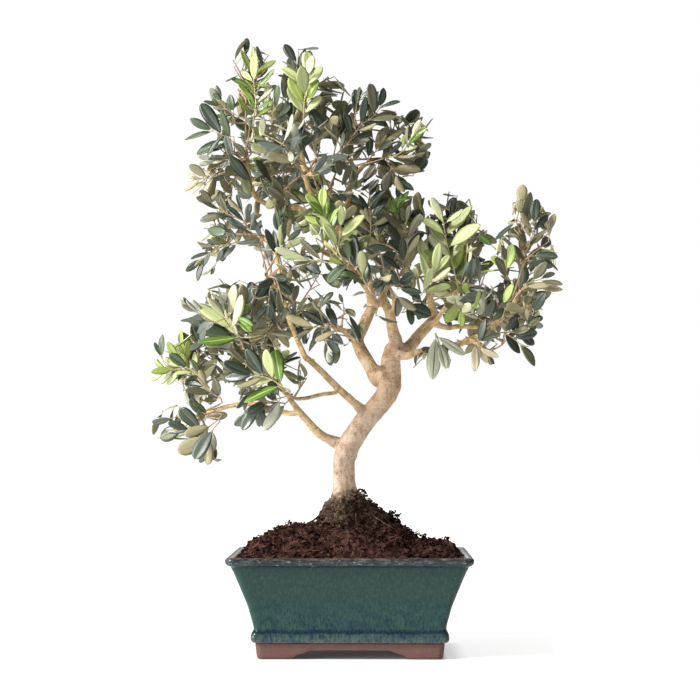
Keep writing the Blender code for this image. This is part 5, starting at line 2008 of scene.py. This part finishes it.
def draw_twig(twigs, shoot):
    """The shoot's own wood, as far as its last leaves; young shoots are green near their tips."""
    path = shoot["path"]
    count = max(2, math.ceil(shoot["reached"] * (len(path) - 1)) + 1)
    thick = shoot["radius"]
    radii = []
    for k in range(count):
        share = k / (count - 1)
        radii.append(thick + (TWIG_TIP_RADIUS - thick) * share ** 0.8)
    slot = 1 if shoot["tints"][0] in YOUNG_TINTS else 0
    tube(twigs, path[:count], radii, 6, slot)


def draw_stem(twigs, stem):
    """The stem, from inside its bough's tip."""
    path = [stem["path"][0] - stem["first_axis"] * 3.0] + stem["path"]
    radii = [stem["tip_radius"]] + [
        radius + (stem["tip_radius"] - radius) * math.exp(-k / 2.5) for k, radius in enumerate(stem["radii"])
    ]
    tube(twigs, path, radii, 8, 0)


STATIONS = (0.05, 0.16, 0.32, 0.50, 0.68, 0.84, 0.95)
ACROSS = (-1.0, -0.55, -0.085, 0.085, 0.55, 1.0)
UPPER, RIB, LOWER, STALK = range(4)
# the rib lies in a fold above and stands out as a keel below, and the edges roll down
RIB_FOLD = 0.25
KEEL = 1.9
EDGE_ROLL = 0.03


def leaf_pattern():
    """Shares along, shares across and undersides of a leaf's verts, and its faces with their parts."""
    along = [0.0, 1.0]
    across = [0.0, 0.0]
    under = [0.0, 0.0]
    upper = []
    for s in STATIONS:
        row = []
        for t in ACROSS:
            row.append(len(along))
            along.append(s)
            across.append(t)
            under.append(0.0)
        upper.append(row)
    lower = []
    for row, s in zip(upper, STATIONS):
        inner = []
        for t in ACROSS[1:-1]:
            inner.append(len(along))
            along.append(s)
            across.append(t)
            under.append(1.0 if abs(t) > 0.2 else KEEL)
        lower.append([row[0]] + inner + [row[-1]])
    faces = []
    parts = []
    columns = len(ACROSS) - 1
    for rows, part, flip in ((upper, UPPER, False), (lower, LOWER, True)):
        for c in range(columns):
            kind = RIB if c == columns // 2 and not flip else part
            ring = [(0, rows[0][c + 1], rows[0][c])]
            for a, b in zip(rows, rows[1:]):
                ring.append((a[c], a[c + 1], b[c + 1], b[c]))
            ring.append((rows[-1][c], rows[-1][c + 1], 1))
            for face in ring:
                faces.append(tuple(reversed(face)) if flip else face)
                parts.append(kind)
    return np.array(along), np.array(across), np.array(under), faces, parts


LEAF_ALONG, LEAF_ACROSS, LEAF_UNDER, LEAF_FACES, LEAF_PARTS = leaf_pattern()


def leaf_outline(blunt):
    """Half widths along a leaf: widest near its middle if pointed, and beyond it if blunt."""
    low = 0.88 - 0.10 * blunt
    high = 0.86 - 0.40 * blunt
    widest = low / (low + high)
    along = np.clip(LEAF_ALONG, 0.0, 1.0)
    return along ** low * (1.0 - along) ** high / (widest ** low * (1.0 - widest) ** high)


def draw_leaf(batch, leaf, parts_to_slots):
    """A thin closed leaf: bent, twisted and cupped, with a rib, a keel and its stalk."""
    root, axis, side, normal = leaf["arrays"]
    turn = leaf["twist"] * LEAF_ALONG
    sides = np.cos(turn)[:, None] * side + np.sin(turn)[:, None] * normal
    normals = np.cos(turn)[:, None] * normal - np.sin(turn)[:, None] * side
    half = leaf["width"] * 0.5 * leaf_outline(leaf["blunt"]) * LEAF_ACROSS
    rise = -leaf["bend"] * leaf["length"] * LEAF_ALONG ** 2 * 2.0
    rise += np.abs(half) * leaf["cup"] - LEAF_ACROSS ** 4 * leaf["width"] * EDGE_ROLL
    rise -= RIB_FOLD * (np.abs(LEAF_ACROSS) < 0.2) * (LEAF_UNDER == 0.0)
    rise -= LEAF_UNDER * LEAF_THICK
    points = root + axis * (leaf["length"] * LEAF_ALONG)[:, None] + sides * half[:, None]
    points = points + normals * rise[:, None]
    batch.add([tuple(p) for p in points], LEAF_FACES, [parts_to_slots[part] for part in LEAF_PARTS])
    base = leaf["stalk_from"]
    end = leaf["root"] + leaf["axis"] * 1.2 - leaf["normal"] * LEAF_THICK
    radii = [PETIOLE_RADIUS * share for share in (1.0, 0.8, 0.7)]
    tube(batch, [base, base.lerp(end, 0.5), end], radii, 4, parts_to_slots[STALK])


# leaf colours: upper sides, undersides, ribs and stalks, each with its roughness and gloss
LEAF_COLOURS = {
    "dark_upper": ((0.030, 0.044, 0.028), 0.36, 0.25),
    # blue_sheen_upper: a grey-blue that is partly the leaves' own tone and partly a painted sheen
    "blue_sheen_upper": ((0.095, 0.115, 0.096), 0.42, 0.25),
    "green_upper": ((0.060, 0.088, 0.036), 0.38, 0.25),
    "olive_upper": ((0.110, 0.104, 0.056), 0.45, 0.20),
    "pale_upper": ((0.420, 0.440, 0.310), 0.60, 0.05),
    "vivid_upper": ((0.100, 0.190, 0.018), 0.42, 0.20),
    "lime_upper": ((0.275, 0.350, 0.080), 0.48, 0.12),
    "young_upper": ((0.460, 0.510, 0.230), 0.50, 0.10),
    "straw_upper": ((0.500, 0.450, 0.300), 0.55, 0.05),
    "silver_under": ((0.400, 0.410, 0.320), 0.75, 0.0),
    "khaki_under": ((0.290, 0.265, 0.150), 0.75, 0.0),
    "moss_under": ((0.230, 0.240, 0.110), 0.75, 0.0),
    "cream_under": ((0.620, 0.630, 0.400), 0.70, 0.0),
    "rib": ((0.085, 0.100, 0.064), 0.55, 0.1),
    "young_rib": ((0.370, 0.450, 0.170), 0.55, 0.1),
    "stalk": ((0.400, 0.350, 0.190), 0.60, 0.1),
}
TINT_PARTS = {
    "dark": ("dark_upper", "rib", "khaki_under", "stalk"),
    "blue": ("blue_sheen_upper", "rib", "silver_under", "stalk"),
    "green": ("green_upper", "rib", "moss_under", "stalk"),
    "olive": ("olive_upper", "rib", "khaki_under", "stalk"),
    "pale": ("pale_upper", "rib", "silver_under", "stalk"),
    "vivid": ("vivid_upper", "young_rib", "cream_under", "stalk"),
    "lime": ("lime_upper", "young_rib", "cream_under", "stalk"),
    "young": ("young_upper", "young_rib", "cream_under", "stalk"),
    "straw": ("straw_upper", "stalk", "straw_upper", "stalk"),
}


def plan_stems(limbs):
    """One stem for each mass, thinner where two masses share a bough."""
    stems = {}
    for mass in MASSES:
        bough = limbs[mass[1]]
        sharing = sum(other[1] == mass[1] for other in MASSES)
        path = stem_path(bough, mass, sharing)
        bough_radius = bough["radii"][-1]
        thick = SHARED_STEM_RADIUS if sharing > 1 else min(STEM_RADIUS, bough_radius * 0.95)
        radii = [thick + (STEM_END_RADIUS - thick) * i / (STEM_POINTS - 1) for i in range(STEM_POINTS)]
        fine, fine_radii = fine_limb(path, radii)
        stems[mass[0]] = {
            "path": path,
            "radii": radii,
            "first_axis": bough["tip_axis"],
            "tip_radius": bough_radius,
            "fine": fine,
            "fine_radii": fine_radii,
        }
    return stems


def build_crowns(limbs, twig, young_twig):
    """All masses: first the sprays that stand out, then the filling, and one mesh of each kind a region."""
    names = list(LEAF_COLOURS)
    materials = [plain_leaf_material(name, *LEAF_COLOURS[name]) for name in names]
    slots_of = {tint: [names.index(part) for part in parts] for tint, parts in TINT_PARTS.items()}
    stems = plan_stems(limbs)
    crowns = {mass[0]: Crown(number, limbs, stems) for number, mass in enumerate(MASSES)}
    for name, crown in crowns.items():
        grow_sprays(crown, stems[name])
    shown = Shown([leaf for crown in crowns.values() for leaf in crown.leaves])
    for name, crown in crowns.items():
        grow_filling(crown, stems[name], shown)
    for region, members in REGIONS.items():
        twigs = Batch()
        leaves = Batch()
        for name in members:
            draw_stem(twigs, stems[name])
            for shoot in crowns[name].shoots:
                if shoot["radius"] and shoot["reached"]:
                    draw_twig(twigs, shoot)
            for leaf in crowns[name].leaves:
                draw_leaf(leaves, leaf, slots_of[leaf["tint"]])
        place(add_batch("twigs_" + region, twigs, (twig, young_twig)), members)
        place(add_batch("leaves_" + region, leaves, materials), members)


# ---------------------------------------------------------------- stage, light and camera

SKY_TOWARD = (-0.8, 0.35, 0.75)
SKY_DIM = 0.05
SKY_BRIGHT = 0.46
FLOOR_HALF = 9000.0
# the floor's glow, painted light that washes out its cast shadows: dim under the pot as a painted shadow, and
# rising over a stretch outside of it
DIM_HALF_X = 80.0
DIM_HALF_Y = 50.0
GLOW_STRETCH = 100.0
GLOW = 0.80
GLOW_STOPS = ((0.0, 0.04), (0.08, 0.65 * GLOW), (0.28, GLOW))
# name, direction that the light comes from, soft angle in degrees, strength and colour
LIGHTS = (
    ("key", (-0.95, -0.55, 0.9), 12.0, 4.2, (1.0, 0.985, 0.955)),
    ("side", (-1.0, -0.45, 0.12), 30.0, 3.6, (1.0, 0.99, 0.97)),
)


def build_floor():
    """A pale floor that glows as painted light, dim close to the pot as a painted shadow."""
    g = Graph("floor", Roughness=0.9, Emission_Color=(1.0, 1.0, 0.995))
    g.shade("Base Color", g.mix(g.noise(900, 900, 900, 2.0), (0.50, 0.50, 0.49), (0.53, 0.53, 0.52)))
    # the glow is held low within the pot's outline: a painted shadow under it
    beside = g.maths("SUBTRACT", g.maths("ABSOLUTE", g.at("X")), DIM_HALF_X)
    before = g.maths("SUBTRACT", g.maths("ABSOLUTE", g.at("Y")), DIM_HALF_Y)
    away = g.maths("DIVIDE", g.maths("MAXIMUM", beside, before), GLOW_STRETCH)
    g.shade("Emission Strength", g.ramp(away, *GLOW_STOPS))
    corners = [(x * FLOOR_HALF, y * FLOOR_HALF, 0.0) for x, y in ((-1, -1), (1, -1), (1, 1), (-1, 1))]
    floor = add_mesh("floor", corners, [(0, 1, 2, 3)], (g.material,), smooth=False)


def build_sky():
    """A soft gradient of light, which a camera ray sees as plain white."""
    world = bpy.data.worlds.new("studio")
    bpy.context.scene.world = world
    world.use_nodes = True
    tree = world.node_tree
    seen = tree.nodes["Background"]
    feed(tree, seen.inputs["Color"], (1.0, 1.0, 1.0))
    feed(tree, seen.inputs["Strength"], 1.0)
    place_in_sky = add_node(tree, "ShaderNodeTexCoord", {}, "Generated")
    aims = {0: place_in_sky, 1: Vector(SKY_TOWARD).normalized()}
    toward = add_node(tree, "ShaderNodeVectorMath", aims, "Value", operation="DOT_PRODUCT")
    levels = {"From Min": -1.0, "To Min": SKY_DIM, "To Max": SKY_BRIGHT, "Value": toward}
    rise = add_node(tree, "ShaderNodeMapRange", levels, "Result", interpolation_type="SMOOTHSTEP")
    lighting = add_node(tree, "ShaderNodeBackground", {"Color": (0.97, 0.985, 1.0), "Strength": rise})
    by_camera = add_node(tree, "ShaderNodeLightPath", {}, "Is Camera Ray")
    choice = add_node(tree, "ShaderNodeMixShader", {0: by_camera, 1: lighting, 2: seen.outputs[0]})
    tree.links.new(choice, tree.nodes["World Output"].inputs["Surface"])


def build_lights():
    for name, source, angle, strength, colour in LIGHTS:
        data = bpy.data.lights.new(name, "SUN")
        data.angle = math.radians(angle)
        data.energy = strength
        data.color = colour
        item = add_item(name, data)
        item.location = Vector(source)
        item.rotation_mode = "QUATERNION"
        item.rotation_quaternion = (-Vector(source)).to_track_quat("-Z", "Y")


def build_camera():
    data = bpy.data.cameras.new("camera")
    data.sensor_width = SENSOR_WIDTH
    data.lens = FOCAL_PX / PHOTO_SIDE_PX * SENSOR_WIDTH
    data.clip_start = 0.05
    data.clip_end = 60.0
    camera = add_item("camera", data)
    camera.location = Vector(CAMERA_PLACE) * MM
    pitch = math.atan(HORIZON_BELOW_MIDDLE_PX / FOCAL_PX)
    camera.rotation_euler = (math.pi / 2 + pitch, 0.0, math.radians(CAMERA_TURN_DEG))
    bpy.context.scene.camera = camera
    bpy.context.scene.view_settings.view_transform = "Standard"


def main():
    build_camera()
    build_floor()
    build_sky()
    build_lights()
    build_pot(glaze_material(), edge_material(), rim_material())
    build_base(clay_material())
    earth = peat_material("peat")
    dark = peat_material("peat_dark")
    build_soil(earth, dark, peat_material("peat_pale"), peat_material("thread"))
    limbs = plan_limbs()
    build_bark(limbs, bark_material())
    build_root_foot(peat_material("moss"), peat_material("moss_dark"), peat_material("root"), dark)
    twig = twig_material("twig", (0.250, 0.165, 0.100), (0.460, 0.330, 0.210))
    young_twig = twig_material("young_twig", (0.330, 0.300, 0.120), (0.520, 0.460, 0.230))
    build_crowns(limbs, twig, young_twig)
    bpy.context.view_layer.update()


main()
